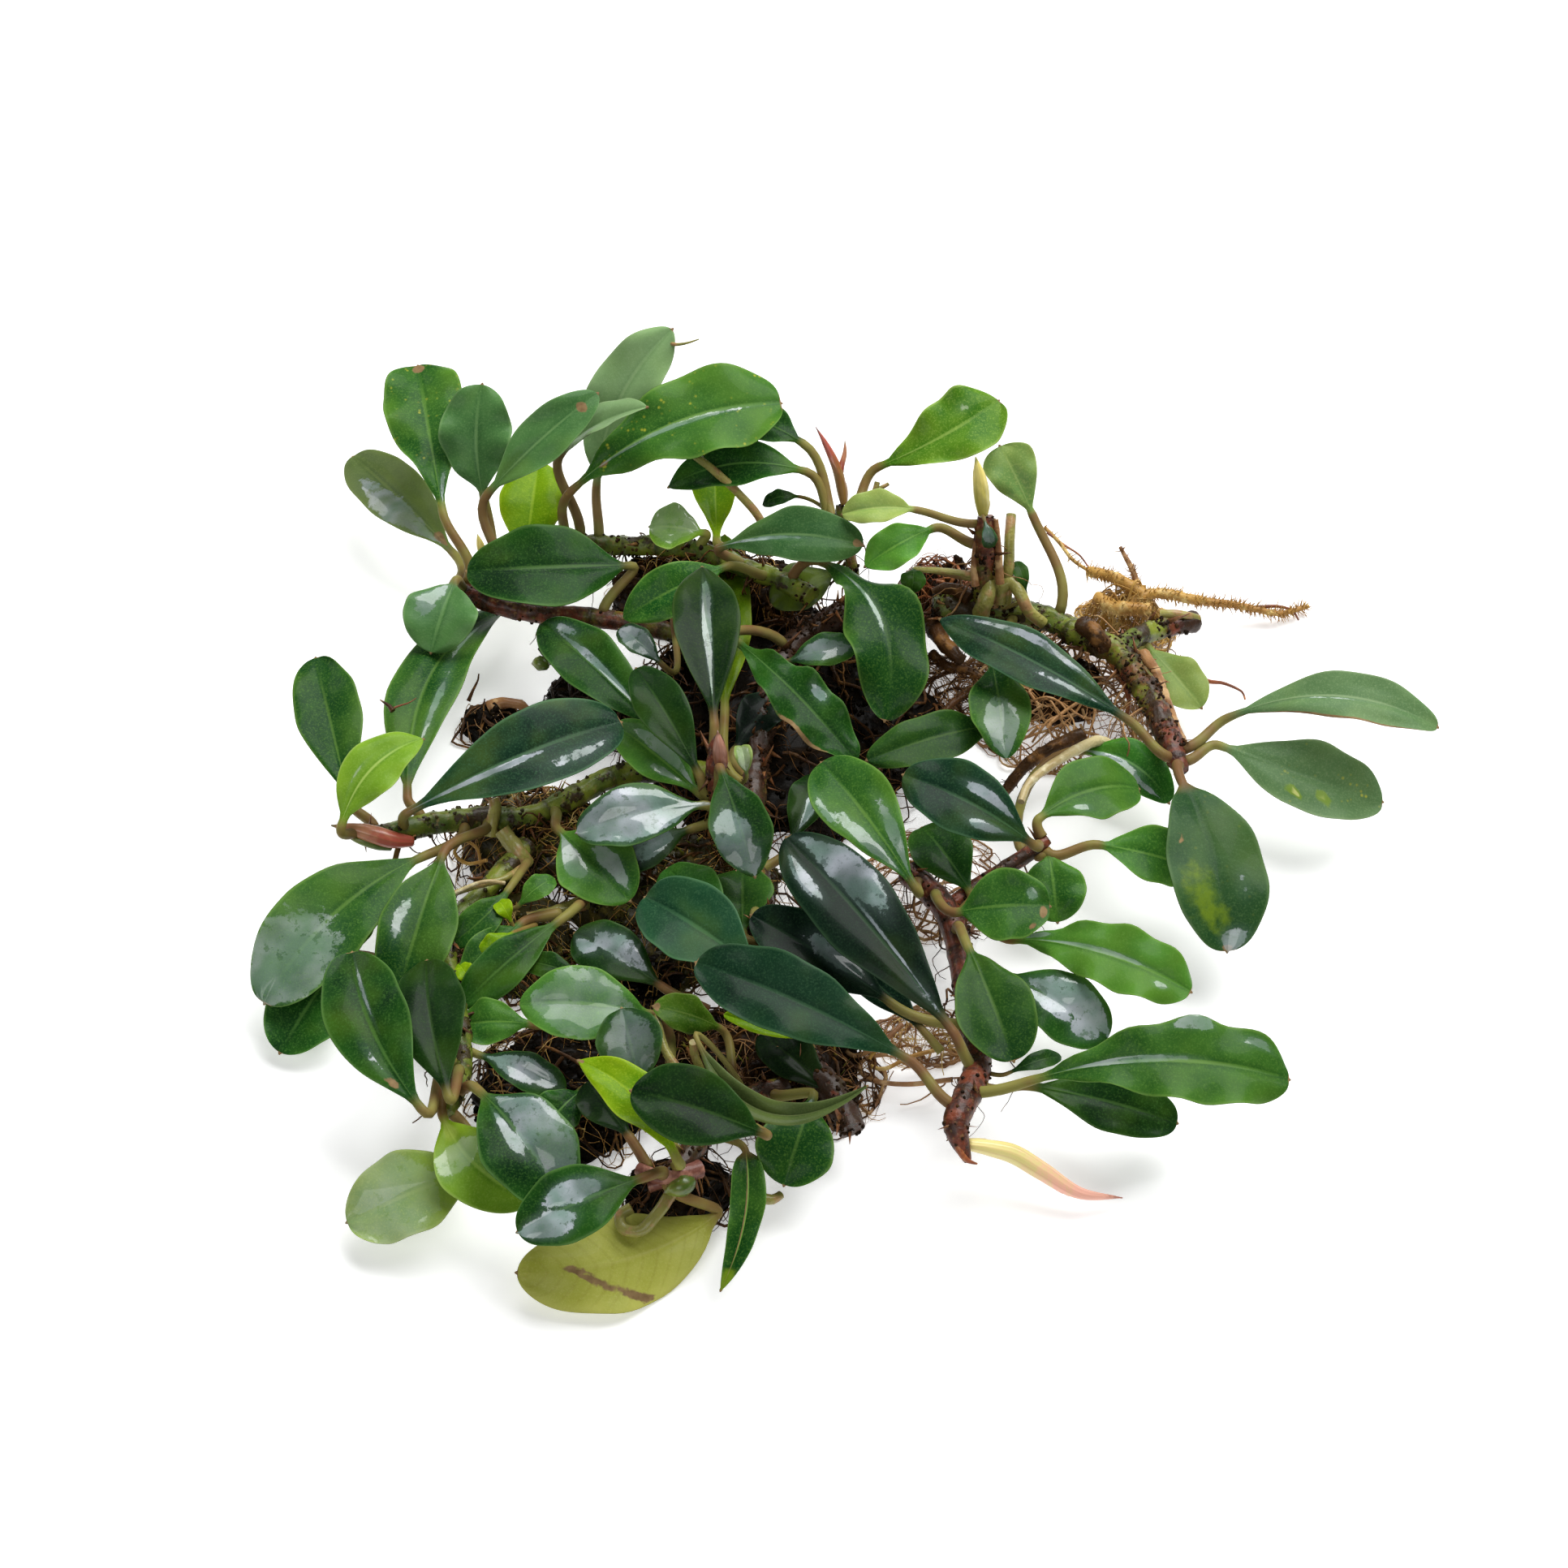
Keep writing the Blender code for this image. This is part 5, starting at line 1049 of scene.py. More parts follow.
# roots leave the underside of a stem, sink to the floor and creep along it
def rootsFromStem(route, radii, count, seed):
    chance = random.Random(seed)
    strands = []
    for _ in range(count):
        index = int(chance.random() ** rootCourse["crowd"] * rootCourse["until"] * (len(route) - 2))
        axis = (route[index + 1] - route[index]).normalized()
        sideways = axis.cross(upward).normalized()
        angle = chance.uniform(-rootCourse["around"], rootCourse["around"])
        heading = sideways * math.sin(angle) - upward * math.cos(angle)
        place = route[index] + heading * radii[index] * rootCourse["away"]
        thick = chance.uniform(*rootCourse["thick"]) * chance.uniform(0.5, 1.0) * mm
        line, widths = [], []
        steps = chance.randint(*rootCourse["steps"])
        for step in range(steps):
            line.append(place.copy())
            widths.append(thick * (1 - rootCourse["thinning"] * step / steps))
            restless = Vector([chance.gauss(0, rootCourse["restless"]) for _ in range(3)])
            heading = (heading - upward * rootCourse["gravity"] + restless).normalized()
            place = place + heading * rootCourse["step"] * mm
            place.z = max(place.z, thick)
        strands.append((line, widths))
    return strands


# lengths in metres; each stem is one piece with its side branches
stemTube = {"spacing": 0.0004, "sides": 22, "ringSpacing": 0.0049, "ringSwelling": 0.07, "ringWander": 0.5,
            "lumpSize": 0.0022}
stemCrumbs = {"smallest": 0.00014, "largest": 0.00046, "patchiness": 0.42}
stemScales = {"smallest": 0.0005, "largest": 0.0012, "patchiness": 0.42}
fineRoot = {"spacing": 0.0009, "sides": 5, "lumps": 0.5}
tipFrom = 0.86


def makeStem(order, name, own):
    strands, ripes, dirts, roots = [], [], [], []
    for part, entry in stems.items():
        if part != name and entry.get("growsFrom") != name:
            continue
        route = placeRoute(entry["route"], 0.8)
        total = routeLength(route)
        done, radii = 0.0, []
        for index, point in enumerate(route):
            done += (point - route[index - 1]).length if index else 0.0
            taper = 1 - (1 - entry["tip"]) * max(0.0, (done / total - tipFrom) / (1 - tipFrom)) ** 2
            radii.append(entry["radius"] * entry.get("girth", 1.0) * mm * taper)
        strands.append((route, radii))
        first, last = entry["ripe"]
        ripes += [first + (last - first) * i / (len(route) - 1) for i in range(len(route))]
        dirts += [entry["dirt"]] * len(route)
        share = own["roots"] if part == name else own["roots"] // 4
        roots += rootsFromStem(route, radii, share, order * 31 + len(strands))
    source = lineMesh(name, strands)
    giveAttribute(source, "ripe", ripes)
    giveAttribute(source, "dirt", dirts)
    made = grown(source, tubeTree, {**stemTube, "lumps": own["lumps"], "material": stemSkin})
    kind, node = name[4:], nodeName(name)
    soil = soilSkins["green" if name in ("stemWest", "stemSouthwest") else "brown"]
    keep(scattered("crumbs" + kind, made, crumbTree, order + 40, {**stemCrumbs, "density": own["crumbs"]}, soil),
         "root", node)
    keep(scattered("scales" + kind, made, mossTree, order + 40, {**stemScales, "density": own["scales"]}, sheathSkin),
         "root", node)
    keep(tubes("stemRoots" + kind, roots, rootSkins["tan" if name == "stemEast" else "brown"], fineRoot),
         "root", node)
    keep(made, "stem", node)


for order, (name, entry) in enumerate(stems.items()):
    if "growsFrom" not in entry:
        makeStem(order, name, entry)
print("stems made")

# buds and sheaths: radius in mm where they swell most, skin, the solid that each stands for, and route
buds = {
    "budNortheast": dict(radius=0.72, skin="bud", node="bud_northeast", swell=0.2, route=((1040, 622, 20.6),
        (1037, 600, 22.5), (1031, 576, 24.8), (1019, 550, 27), (1005, 526, 29))),
    "budSecond": dict(radius=0.42, skin="red", node="bud_northeast", swell=0.2, route=((1034, 590, 23.4),
        (1037, 574, 24.8), (1041, 558, 26), (1041, 542, 27.2))),
    "spatheYellow": dict(radius=1.08, skin="spathe", node="spathe_yellow", route=((1211, 634, 24),
        (1210, 612, 26.6), (1207, 588, 29.3), (1202, 563, 32))),
    "spathePink": dict(radius=1.18, skin="pink", node="spathe_pink", swell=0.3, route=((1193, 1410, 9),
        (1220, 1414, 8.2), (1250, 1422, 7), (1285, 1443, 5.4), (1330, 1470, 3.4), (1383, 1476, 2))),
    "budCentre": dict(radius=0.95, skin="rose", route=((889, 948, 17.5), (888, 934, 19.3), (886, 917, 21.6),
        (884, 900, 23.2))),
    "budWest": dict(radius=1.15, skin="red", swell=0.4, route=((508, 1037, 10.4), (484, 1035, 11.6),
        (462, 1029, 12.6), (438, 1022, 13.4), (408, 1017, 13.8))),
    "budWestLower": dict(radius=0.62, skin="green", swell=0.3, route=((482, 1045, 10.4), (463, 1041, 11.4),
        (444, 1036, 12.2), (426, 1030, 12.8))),
    "budHind": dict(radius=1.0, skin="green", swell=0.5, route=((674, 821, 8.8), (667, 818, 9.4),
        (661, 817, 9.4), (655, 818, 9.2))),
    "budSouth": dict(radius=1.2, skin="green", route=((852, 1456, 8.6), (842, 1461, 9.2), (830, 1465, 9),
        (818, 1470, 8))),
    "scrapNorthwest": dict(radius=0.55, skin="spathe", route=((594, 684, 13), (593, 676, 14), (591, 668, 14.8),
        (588, 658, 15.6))),
}


budForm = {"step": 0.35, "sides": 36, "swell": 0.35, "foot": 0.6, "tip": 0.08, "twist": 0.8, "seam": 0.16,
           "ridge": 0.02, "ridges": 9}


def budShare(u, swell):
    if u < swell:
        return budForm["foot"] + (1 - budForm["foot"]) * math.sin(math.pi / 2 * u / swell)
    return max(budForm["tip"], math.cos(math.pi / 2 * (u - swell) / (1 - swell)) ** 0.8)


# a rolled young leaf: the seam of the roll winds once up the bud
def makeBud(name, bud):
    route = placeRoute(bud["route"], budForm["step"])
    sides = budForm["sides"]
    points, spots = [], []
    across = (route[1] - route[0]).orthogonal().normalized()
    for index, place in enumerate(route):
        u = index / (len(route) - 1)
        tangent = (route[min(index + 1, len(route) - 1)] - route[max(index - 1, 0)]).normalized()
        across = (across - tangent * across.dot(tangent)).normalized()
        other = tangent.cross(across)
        for i in range(sides):
            angle = 2 * math.pi * i / sides
            roll = (angle / (2 * math.pi) + budForm["twist"] * u) % 1.0
            radius = bud["radius"] * mm * budShare(u, bud.get("swell", budForm["swell"]))
            radius *= 0.94 + budForm["seam"] * roll + budForm["ridge"] * math.sin(budForm["ridges"] * angle)
            points.append(place + (across * math.cos(angle) + other * math.sin(angle)) * radius)
            spots.append((i / sides, u, 0))
    made = closedForm(name, points + [route[0], route[-1]], sides, budSkins[bud["skin"]])
    giveAttribute(made, "spot", spots + [(0, 0, 0), (0, 1, 0)])
    keep(made, "spathe" if bud["skin"] == "spathe" else "bud", *([bud["node"]] if "node" in bud else []))


for name, bud in buds.items():
    makeBud(name, bud)
print("buds made:", len(buds))


def thread(skin, first, last, *route, **more):
    return {"skin": skin, "radius": (first, last), "route": route, "lumps": 0.25, **more}


# single stalks, shoots and roots that show: skin, radius in mm at the start and end, route; fuzz is how many fibres
# grow all round, lumps how uneven it is
threads = {
    "rootEast": thread("gold", 0.85, 0.3, (1392, 742, 6), (1425, 731, 6.4), (1470, 739, 5), (1530, 747, 3),
        (1575, 756, 1.6), (1612, 747, 1), node="root_east", lumps=1.2, fuzz=900),
    "rootPale": thread("pale", 0.85, 0.5, (1385, 930, 4), (1362, 916, 7), (1351, 913, 8.4), (1326, 924, 9.8),
        (1295, 943, 11), (1268, 965, 11.8), (1258, 988, 12), node="root_pale", lumps=0.6),
    "rootBesidePale": thread("brown", 1.1, 0.7, (1335, 905, 6), (1290, 925, 5), (1262, 945, 4),
        (1238, 975, 2.6), lumps=1.0, fuzz=90),
    "rootEastFork": thread("red", 0.32, 0.14, (1545, 749, 2.4), (1572, 747, 1.8), (1592, 752, 1.2),
        (1600, 764, 0.8)),
    "rootEastUp": thread("tan", 0.5, 0.28, (1402, 722, 6.5), (1396, 704, 8), (1389, 690, 9), (1380, 674, 9.8),
        lumps=0.9, fuzz=60),
    "rootThinEast": thread("gold", 0.3, 0.22, (1287, 650, 9), (1305, 668, 8.4), (1322, 690, 7.6),
        (1347, 706, 7), (1372, 716, 6.6), fuzz=50),
    "rootThinEastTwo": thread("red", 0.2, 0.12, (1290, 656, 9), (1312, 672, 8), (1330, 684, 7.4),
        (1342, 700, 7)),
    "bractEast": thread("red", 0.4, 0.14, (1462, 818, 5), (1485, 838, 4), (1508, 842, 3), (1530, 852, 2.2),
        (1534, 862, 1.8)),
    "stalkLoop": thread("stalk", 0.85, 0.7, (836, 1452, 8), (822, 1478, 7.5), (806, 1500, 7), (790, 1516, 6),
        (768, 1514, 5.6), (764, 1498, 6), (778, 1488, 6.6)),
    "shootSouth": thread("shoot", 1.2, 0.8, (862, 1440, 8.6), (838, 1447, 9.4), (812, 1450, 9.4),
        (786, 1440, 9)),
    "shootSouthTwo": thread("shoot", 0.8, 0.3, (800, 1462, 8), (822, 1456, 8.6), (840, 1448, 9),
        (858, 1452, 8.8)),
    "stalkCut": thread("stalk", 0.85, 0.7, (1238, 748, 10), (1241, 722, 13), (1243, 694, 16), (1244, 660, 19),
        (1246, 634, 20.4)),
    "stalkShort": thread("stalk", 0.7, 0.5, (1226, 748, 10), (1227, 730, 12.5), (1229, 706, 15),
        (1229, 690, 16.4)),
    "stalkArc": thread("stalk", 0.5, 0.4, (1212, 722, 14), (1205, 713, 15), (1191, 707, 16), (1158, 703, 16),
        (1126, 702, 15.5)),
    "stalkBehind": thread("stalk", 0.62, 0.55, (940, 660, 14), (936, 639, 16), (912, 610, 19), (880, 580, 22),
        (853, 559, 24)),
    "stalkHook": thread("stalk", 1.0, 0.8, (1232, 742, 11), (1234, 725, 13), (1247, 717, 14), (1259, 736, 13),
        (1268, 754, 11.4), (1286, 768, 9.6)),
    "stalkSouthLong": thread("stalk", 0.62, 0.55, (905, 1345, 8.5), (860, 1340, 10), (822, 1298, 12),
        (808, 1252, 13.5)),
    "stalkSouthInner": thread("stalk", 0.6, 0.5, (880, 1345, 8.5), (866, 1324, 10), (856, 1300, 12),
        (854, 1284, 14.4)),
    "stalkSouthUnder": thread("stalk", 0.7, 0.5, (1046, 1392, 5), (1050, 1376, 6.4), (1040, 1358, 7.6),
        (1022, 1346, 8.4)),
    "stalkWest": thread("stalk", 0.5, 0.4, (645, 1068, 9), (620, 1083, 10.5), (585, 1092, 11), (554, 1103, 11)),
    "stubWest": thread("stalk", 1.2, 1.05, (648, 1064, 7), (640, 1052, 8.6), (628, 1036, 9.4),
        (618, 1022, 10.4), lumps=0.7),
    "stubWestUp": thread("stalk", 0.9, 0.8, (604, 1030, 9), (606, 1012, 10.4), (611, 996, 11.2), (608, 984, 12),
        lumps=0.7),
    "nodeWest": thread("stalk", 1.0, 0.8, (722, 1112, 6.4), (700, 1119, 7), (676, 1126, 7.2), (650, 1131, 7),
        lumps=0.9),
    "loopWest": thread("gold", 0.26, 0.2, (600, 1060, 8), (575, 1064, 7), (560, 1050, 7.6), (572, 1036, 8.6),
        (588, 1046, 8), (592, 1066, 6)),
    "stubNortheast": thread("stalk", 0.55, 0.4, (1052, 640, 17), (1066, 624, 18.5), (1077, 608, 20),
        (1081, 594, 21)),
    "stubNortheastFork": thread("stalk", 0.4, 0.25, (1076, 609, 20), (1082, 603, 20.3), (1090, 599, 20.6),
        (1095, 596, 20.8)),
    "bractPink": thread("stalk", 0.85, 0.55, (924, 1470, 4.4), (938, 1476, 4.6), (952, 1478, 4.4),
        (962, 1472, 4.2)),
    "thornWest": thread("red", 0.16, 0.05, (486, 872, 16.6), (494, 869, 16.8), (504, 866, 17),
        (513, 860, 17.4)),
    "thornWestTwo": thread("brown", 0.4, 0.06, (484, 876, 16.4), (480, 870, 16.6), (474, 866, 16.8),
        (468, 862, 17)),
    "tuftUpper": thread("gold", 0.7, 1.0, (1340, 704, 6.6), (1362, 708, 7.2), (1385, 718, 7.4),
        (1408, 732, 6.6), lumps=1.2, fuzz=300),
    "tuftLower": thread("gold", 1.0, 1.0, (1352, 738, 6.6), (1372, 748, 7.4), (1392, 750, 7.6), (1416, 752, 7),
        lumps=1.2, fuzz=300),
    "loopTanOne": thread("tan", 0.34, 0.28, (1174, 1330, 3), (1120, 1336, 2.6), (1080, 1332, 2.4),
        (1060, 1320, 2.2), (1066, 1304, 2), (1094, 1299, 2.2)),
    "loopTanTwo": thread("tan", 0.34, 0.28, (1112, 1262, 4), (1080, 1290, 3.4), (1052, 1301, 3),
        (1040, 1286, 3.2), (1052, 1272, 3.4), (1066, 1284, 3)),
    "loopTanThree": thread("gold", 0.3, 0.24, (1160, 1292, 3), (1122, 1302, 2.6), (1090, 1317, 2.4),
        (1071, 1311, 2.4), (1078, 1296, 2.6), (1102, 1290, 2.8)),
    "sliverNorth": thread("stalk", 0.4, 0.1, (816, 414, 31.2), (829, 424, 32), (845, 423, 32.4),
        (861, 418, 32.6)),
    "bractNorthwest": thread("red", 0.5, 0.1, (605, 662, 13), (601, 646, 14.4), (597, 633, 15.6),
        (590, 622, 16)),
    "lumpHind": thread("tan", 0.9, 0.6, (602, 872, 4.4), (620, 866, 5), (640, 868, 5), (652, 877, 4),
        lumps=1.0),
    "twigHind": thread("brown", 0.3, 0.1, (577, 864, 4), (583, 850, 5), (589, 838, 6), (590, 830, 6.6)),
    "stubHind": thread("black", 0.34, 0.2, (679, 818, 8.4), (672, 809, 9.4), (667, 803, 10), (664, 799, 10.6)),
    "strandWest": thread("pale", 0.3, 0.25, (548, 1110, 10.6), (572, 1095, 11.6), (598, 1086, 12),
        (622, 1088, 11)),
    "nodeBridge": thread("brown", 1.4, 0.9, (1148, 768, 7), (1160, 788, 8), (1174, 804, 7.8), (1186, 814, 7),
        lumps=0.9),
    "rootBridge": thread("brown", 0.8, 0.5, (1148, 806, 5), (1166, 820, 5.4), (1192, 826, 5), (1216, 838, 4.4),
        lumps=1.0, fuzz=160),
    "rootBridgeTwo": thread("brown", 0.6, 0.4, (1160, 884, 3), (1172, 868, 3.4), (1188, 858, 3.4),
        (1208, 850, 3.4), lumps=1.0, fuzz=160),
    "fingerEast": thread("tan", 0.75, 0.35, (1388, 826, 10.6), (1402, 842, 10.2), (1412, 862, 9.4),
        (1419, 890, 8), lumps=0.6),
    "fingerEastTwo": thread("red", 0.6, 0.3, (1368, 812, 9.4), (1384, 838, 8.6), (1391, 862, 7.4),
        (1388, 884, 6), lumps=0.8),
    "sheathEast": thread("tan", 0.9, 0.5, (1408, 806, 9), (1424, 830, 9.8), (1436, 862, 10.8), (1450, 896, 12),
        (1460, 918, 12.4), lumps=0.8),
    "sheathSpathe": thread("tan", 0.62, 0.35, (1232, 718, 15), (1231, 692, 18), (1229, 662, 21),
        (1227, 640, 23), lumps=0.6),
    "sheathSpatheTwo": thread("tan", 0.6, 0.3, (1202, 722, 15), (1200, 700, 17), (1201, 680, 19),
        (1204, 660, 21), lumps=0.6),
    "knobSpathe": thread("brown", 1.2, 0.9, (1196, 738, 11), (1180, 728, 11), (1164, 727, 10.4),
        (1152, 732, 9.6), lumps=1.0, fuzz=60),
    "greenSpathe": thread("stalk", 1.3, 1.0, (1208, 756, 11), (1214, 742, 13), (1218, 728, 14),
        (1218, 716, 14.6), lumps=0.6),
    "lumpCut": thread("brown", 1.5, 1.2, (1336, 772, 11), (1346, 778, 12.4), (1354, 788, 12), (1362, 798, 10.6),
        lumps=1.0, fuzz=50),
    "chipCut": thread("stalk", 0.7, 0.5, (1430, 757, 8), (1446, 756, 8.4), (1462, 758, 8), (1477, 762, 7),
        lumps=0.8),
    "claw": thread("red", 0.8, 0.12, (1180, 1400, 11), (1183, 1418, 10.2), (1192, 1430, 9.4),
        (1204, 1434, 8.8)),
}


fibreForm = {"length": (0.25, 0.9), "bend": 0.35, "lean": 0.5, "sink": 0.6, "radii": (0.10, 0.08, 0.06, 0.04)}


# short fibres all round a root
def fuzzOn(route, radii, count, chance):
    strands = []
    for _ in range(count):
        index = chance.randrange(len(route) - 1)
        axis = (route[index + 1] - route[index]).normalized()
        outward = Vector([chance.gauss(0, 1) for _ in range(3)])
        outward = (outward - axis * outward.dot(axis)).normalized()
        bend = Vector([chance.gauss(0, fibreForm["bend"]) for _ in range(3)])
        length = chance.uniform(*fibreForm["length"]) * mm
        foot = route[index] + outward * radii[index] * fibreForm["sink"]
        heading = outward + axis * fibreForm["lean"]
        line = [foot + heading * length * t + bend * length * t * t for t in (0, 0.35, 0.7, 1)]
        for place in line:
            place.z = max(place.z, 0.05 * mm)
        strands.append((line, [radius * mm for radius in fibreForm["radii"]]))
    return strands


threadSkins = {**rootSkins, "stalk": stalkSkin, "shoot": shootSkin}
threadTube = {"spacing": 0.0004, "sides": 12, "lumpSize": 0.0016}
fibreTube = {"spacing": 0.0005, "sides": 4, "lumps": 0.0}


def makeThread(order, name, entry):
    route = placeRoute(entry["route"], 0.6)
    first, last = entry["radius"]
    radii = [(first + (last - first) * i / (len(route) - 1)) * mm for i in range(len(route))]
    slot = "root" if entry["skin"] in rootSkins else "stem"
    skin = threadSkins[entry["skin"]]
    node = [entry["node"]] if "node" in entry else []
    keep(tubes(name, [(route, radii)], skin, {**threadTube, "lumps": entry["lumps"]}), slot, *node)
    if "fuzz" in entry:
        fibres = fuzzOn(route, radii, entry["fuzz"], random.Random(order))
        keep(tubes(name + "Fibres", fibres, skin, fibreTube), slot, *node)


for order, (name, entry) in enumerate(threads.items()):
    makeThread(order, name, entry)
print("stalks and single roots made:", len(threads))

# beds of roots: middle on the floor, half sizes and height in mm, turn in degrees; core is how much of the bed is a
# lump of soil, 0 is an open net; level is how deep the strands run; thick and fine are how many of each; crumbs and
# moss are how many grow on a square metre; the first four dress the solid's root mats
matDefaults = dict(turn=0, core=0.9, soil="brown", roots="brown", hairs="gold", crumbs=0.0, moss=0.0,
                   level=(0.85, 1.15))
mats = {
    "matCentre": dict(middle=(962, 905), across=23, along=22, height=7.5, turn=20, core=0.84, soil="dark",
        level=(0.85, 1.12), thick=90, fine=150, hairs="brown", crumbs=9.1e5),
    "matEast": dict(middle=(1300, 862), across=13.5, along=13, height=7.5, turn=-30, core=0.4,
        level=(0.05, 1.0), thick=110, fine=190, roots="tan", hairs="tan", crumbs=2.1e6),
    "matWest": dict(middle=(655, 1050), across=10.5, along=9, height=7, turn=10, core=0.84, soil="green",
        level=(0.8, 1.15), thick=50, fine=110, crumbs=1.8e6, moss=2.5e6),
    "matSouth": dict(middle=(940, 1325), across=15, along=10, height=7, turn=-10, core=0.86, level=(0.8, 1.12),
        thick=60, fine=120, hairs="tan", crumbs=1.8e6, moss=8e5),
    "matNorth": dict(middle=(880, 752), across=15, along=6, height=10.5, turn=-4, level=(0.85, 1.1), thick=50,
        fine=90, crumbs=1.8e6),
    "matNortheast": dict(middle=(1158, 746), across=6.5, along=4.6, height=7.6, core=0.8, level=(0.8, 1.2),
        thick=24, fine=40, roots="red", hairs="red", crumbs=3.5e6),
    "matMiddle": dict(middle=(1150, 1090), across=8, along=8.5, height=4.6, core=0.0, level=(0.05, 1.0),
        thick=34, fine=90, roots="tan", hairs="tan"),
    "matLower": dict(middle=(830, 1130), across=16, along=13, height=6.2, core=0.88, soil="green", thick=50,
        fine=110, crumbs=1.4e6, moss=9e5),
    "matLoops": dict(middle=(1105, 1315), across=8.5, along=6.5, height=3.2, core=0.0, level=(0.05, 1.0),
        thick=5, fine=14, roots="tan"),
    "matSouthwest": dict(middle=(694, 1355), across=12.5, along=11, height=6, core=0.86, soil="dark", thick=34,
        fine=80, crumbs=1.4e6),
    "matHollow": dict(middle=(742, 885), across=8.5, along=5.5, height=7.4, turn=-12, soil="dark",
        level=(0.85, 1.1), thick=26, fine=50, roots="black", hairs="brown", crumbs=1.8e6),
    "matHind": dict(middle=(611, 900), across=5.0, along=3.6, height=4.4, turn=-15, soil="dark",
        level=(0.7, 1.1), thick=5, fine=36, hairs="tan", crumbs=4.2e6),
    "matBridge": dict(middle=(1170, 850), across=6, along=5, height=3.6, core=0.0, level=(0.05, 1.0), thick=22,
        fine=90, hairs="tan"),
    "matTuft": dict(middle=(1386, 770), across=6.0, along=3.4, height=7.4, turn=-14, core=0.0,
        level=(0.3, 1.15), thick=40, fine=260, roots="gold"),
    "matNet": dict(middle=(1136, 1280), across=5.2, along=3.6, height=3.2, core=0.0, level=(0.05, 1.0),
        thick=16, fine=60, roots="tan"),
    "matGap": dict(middle=(790, 1214), across=6, along=4.4, height=5, soil="dark", level=(0.85, 1.1), thick=12,
        fine=30, crumbs=1.8e6),
    "matHidden": dict(middle=(632, 1172), across=9.5, along=9, height=4.6, soil="green", level=(0.85, 1.1),
        thick=20, fine=60, crumbs=1.8e6, moss=1.2e6),
    "matUnder": dict(middle=(838, 1478), across=8, along=5, height=5.4, turn=10, core=0.86, soil="dark",
        thick=14, fine=36, hairs="brown", crumbs=1.4e6),
}
matForm = {"bumps": 2.3, "roughness": 0.24, "rubble": 0.9, "belowFloor": 0.25, "underStem": 0.5, "reach": 5.0,
           "thickRadius": (0.13, 0.30), "fineRadius": (0.05, 0.10), "thickLength": (7, 24), "fineLength": (4, 16),
           "step": 0.8, "drift": 0.17, "thinning": 0.65, "wander": 0.2, "kinkChance": 0.09, "kink": (0.5, 1.3),
           "turnBack": 0.3}
matTube = {"spacing": 0.0009, "lumps": 0.6, "lumpSize": 0.0012}
matCrumbs = {"smallest": 0.00022, "largest": 0.0008, "patchiness": 0.4}
matMoss = {"smallest": 0.00035, "largest": 0.0008, "patchiness": 0.5}
stemAxes = [(point, stems[name]["radius"] * mm) for name, route in stemRoutes.items() for point in route]


# the lump of soil, flat underneath and kept below the stems that cross it
def makeCore(name, mat, seed):
    shape = bmesh.new()
    bmesh.ops.create_icosphere(shape, subdivisions=5 if mat["across"] > 12 else 4, radius=1.0)
    turn = Matrix.Rotation(math.radians(mat["turn"]), 3, "Z")
    middle = at(*mat["middle"], 0)
    low = matForm["belowFloor"]
    for vert in shape.verts:
        bump = noise.noise(vert.co * matForm["bumps"] + Vector((seed * 7.1, 0, 0)))
        rough = noise.fractal(vert.co * (mat["across"] * 0.6) + Vector((0, seed, 0)), 0.8, 2.0, 4)
        size = mat["core"] * (1 + matForm["roughness"] * bump + 0.05 * rough)
        flat = Vector((vert.co.x * mat["across"], vert.co.y * mat["along"], 0)) * mm * size
        place = turn @ flat + middle
        height = (vert.co.z + low) / (1 + low) * mat["height"] * mm * (1 + bump / 3) * 0.92
        height += matForm["rubble"] * mm * rough
        for point, radius in stemAxes:
            if (place.xy - point.xy).length < radius + matForm["reach"] * mm:
                height = min(height, point.z - radius - (matForm["underStem"] - 0.3 * rough) * mm)
        vert.co = Vector((place.x, place.y, max(0.0, height)))
    bmesh.ops.recalc_face_normals(shape, faces=shape.faces)
    mesh = bpy.data.meshes.new(name)
    shape.to_mesh(mesh)
    shape.free()
    mesh.shade_smooth()
    mesh.materials.append(soilSkins[mat["soil"]])
    return newObject(name, mesh)


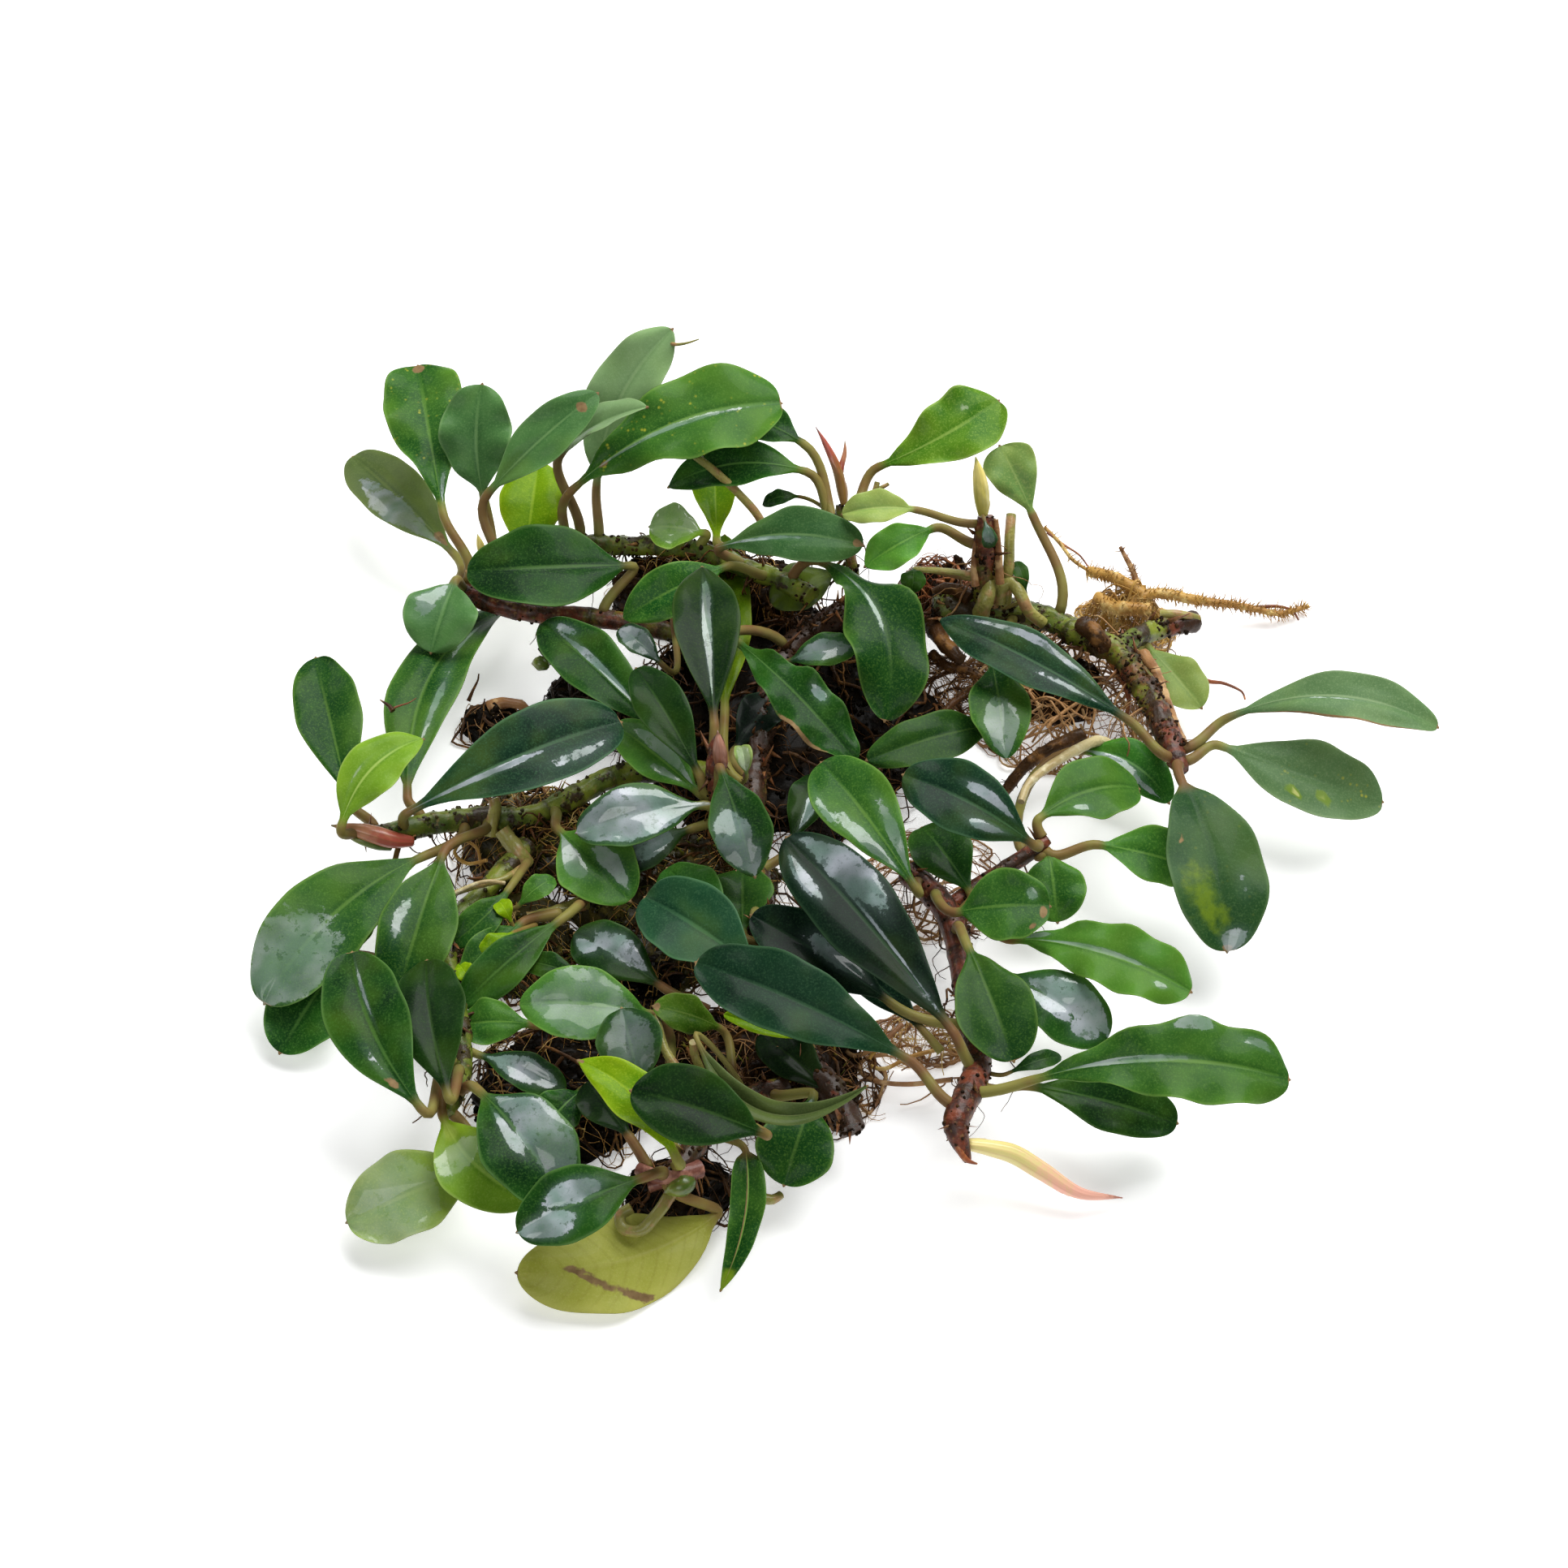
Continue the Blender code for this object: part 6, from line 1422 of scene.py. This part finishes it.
# roots wander over a bed's dome or, in an open net, anywhere inside it; now and then one kinks
def matStrands(mat, count, widths, lengths, seed):
    chance = random.Random(seed)
    turn = math.radians(mat["turn"])
    middle = at(*mat["middle"], 0)
    strands = []
    for _ in range(count):
        angle, away = chance.uniform(0, 2 * math.pi), math.sqrt(chance.random())
        x, y = away * math.cos(angle) * mat["across"], away * math.sin(angle) * mat["along"]
        heading = chance.uniform(0, 2 * math.pi)
        thick = chance.uniform(*widths)
        level = chance.uniform(*mat["level"])
        phase = chance.uniform(0, 100)
        steps = int(chance.uniform(*lengths) / matForm["step"])
        line, radii = [], []
        for step in range(steps):
            reach = math.hypot(x / mat["across"], y / mat["along"])
            cover = mat["height"] * max(0.0, 1 - reach ** 2) ** (0.5 if mat["core"] else 0.9)
            drift = noise.noise(Vector((phase, step * matForm["drift"], 0)))
            height = max(thick, cover * (level + 0.4 * drift) + 0.9 * drift)
            line.append(Vector((middle.x + (x * math.cos(turn) - y * math.sin(turn)) * mm,
                                middle.y + (x * math.sin(turn) + y * math.cos(turn)) * mm, height * mm)))
            radii.append(thick * mm * (1 - matForm["thinning"] * step / steps) * (1 + 0.3 * drift))
            heading += chance.gauss(0, matForm["wander"])
            if chance.random() < matForm["kinkChance"]:
                heading += chance.choice((-1, 1)) * chance.uniform(*matForm["kink"])
            if reach > (1.0 if mat["core"] else 1.1):
                inward = math.atan2(-y, -x)
                heading += matForm["turnBack"] * ((inward - heading + math.pi) % (2 * math.pi) - math.pi)
            x += math.cos(heading) * matForm["step"]
            y += math.sin(heading) * matForm["step"]
        if len(line) > 3:
            strands.append((line, radii))
    return strands


def makeMat(order, name, mat):
    kind = "Mat" + name[3:]
    node = ["root_" + nodeName(name)] if order < 4 else []
    soil = soilSkins[mat["soil"]]
    if mat["core"]:
        core = makeCore(name, mat, order + 1)
        if mat["crumbs"]:
            form = {**matCrumbs, "density": mat["crumbs"]}
            keep(scattered("crumbs" + kind, core, crumbTree, order + 10, form, soil), "root", *node)
        if mat["moss"]:
            form = {**matMoss, "density": mat["moss"]}
            keep(scattered("moss" + kind, core, mossTree, order + 10, form, mossSkin), "root", *node)
        keep(core, "root", *node)
    for form, count, widths, lengths, skin, sides in (
            ("roots", mat["thick"], matForm["thickRadius"], matForm["thickLength"], mat["roots"], 5),
            ("hairs", mat["fine"], matForm["fineRadius"], matForm["fineLength"], mat["hairs"], 3)):
        strands = matStrands(mat, count, widths, lengths, order * 7 + sides)
        keep(tubes(form + kind, strands, rootSkins[skin], {**matTube, "sides": sides}), "root", *node)


for order, (name, entry) in enumerate(mats.items()):
    makeMat(order, name, {**matDefaults, **entry})
print("root mats made:", len(mats))

studio = {"world": 0.04, "key": 17.4, "low": 1.4, "front": 3.5, "floorGlow": 0.38, "floorReach": 3,
          "floorLevel": -0.0001}


def makeFloor():
    mesh = bpy.data.meshes.new("floor")
    far, level = studio["floorReach"], studio["floorLevel"]
    corners = [(-far, -far, level), (far, -far, level), (far, far, level), (-far, far, level)]
    mesh.from_pydata(corners, [], [(0, 1, 2, 3)])
    made, g = newMaterial("floorPaint")
    base = g.mix(g.noise(4, 2), (0.88, 0.88, 0.89, 1), (0.93, 0.93, 0.93, 1))
    finishMaterial(g, {"Roughness": 0.75, "Emission Strength": studio["floorGlow"]},
                   {"Base Color": base, "Emission Color": base})
    mesh.materials.append(made)
    floor = newObject("floor", mesh)


def makeLight(name, place, size, power, target=(0, 0, 0.01)):
    data = bpy.data.lights.new(name, "AREA")
    data.shape = "RECTANGLE"
    data.size, data.size_y = size
    data.energy = power
    light = bpy.data.objects.new(name, data)
    light.location = place
    light.rotation_euler = (Vector(target) - Vector(place)).to_track_quat("-Z", "Y").to_euler()
    bpy.context.scene.collection.objects.link(light)


makeFloor()
makeLight("softboxBack", (0.30, 0.42, 0.86), (1.0, 0.8), studio["key"])
makeLight("softboxLow", (-0.7, 0.5, 0.45), (0.5, 0.3), studio["low"])
makeLight("softboxFront", (-0.25, -0.75, 0.75), (0.7, 0.5), studio["front"])
world = bpy.data.worlds.new("studio")
world.use_nodes = True
world.node_tree.nodes["Background"].inputs[0].default_value = (1, 1, 1, 1)
world.node_tree.nodes["Background"].inputs[1].default_value = studio["world"]
bpy.context.scene.world = world
bpy.context.scene.view_settings.view_transform = "Standard"
print("floor and lights placed")
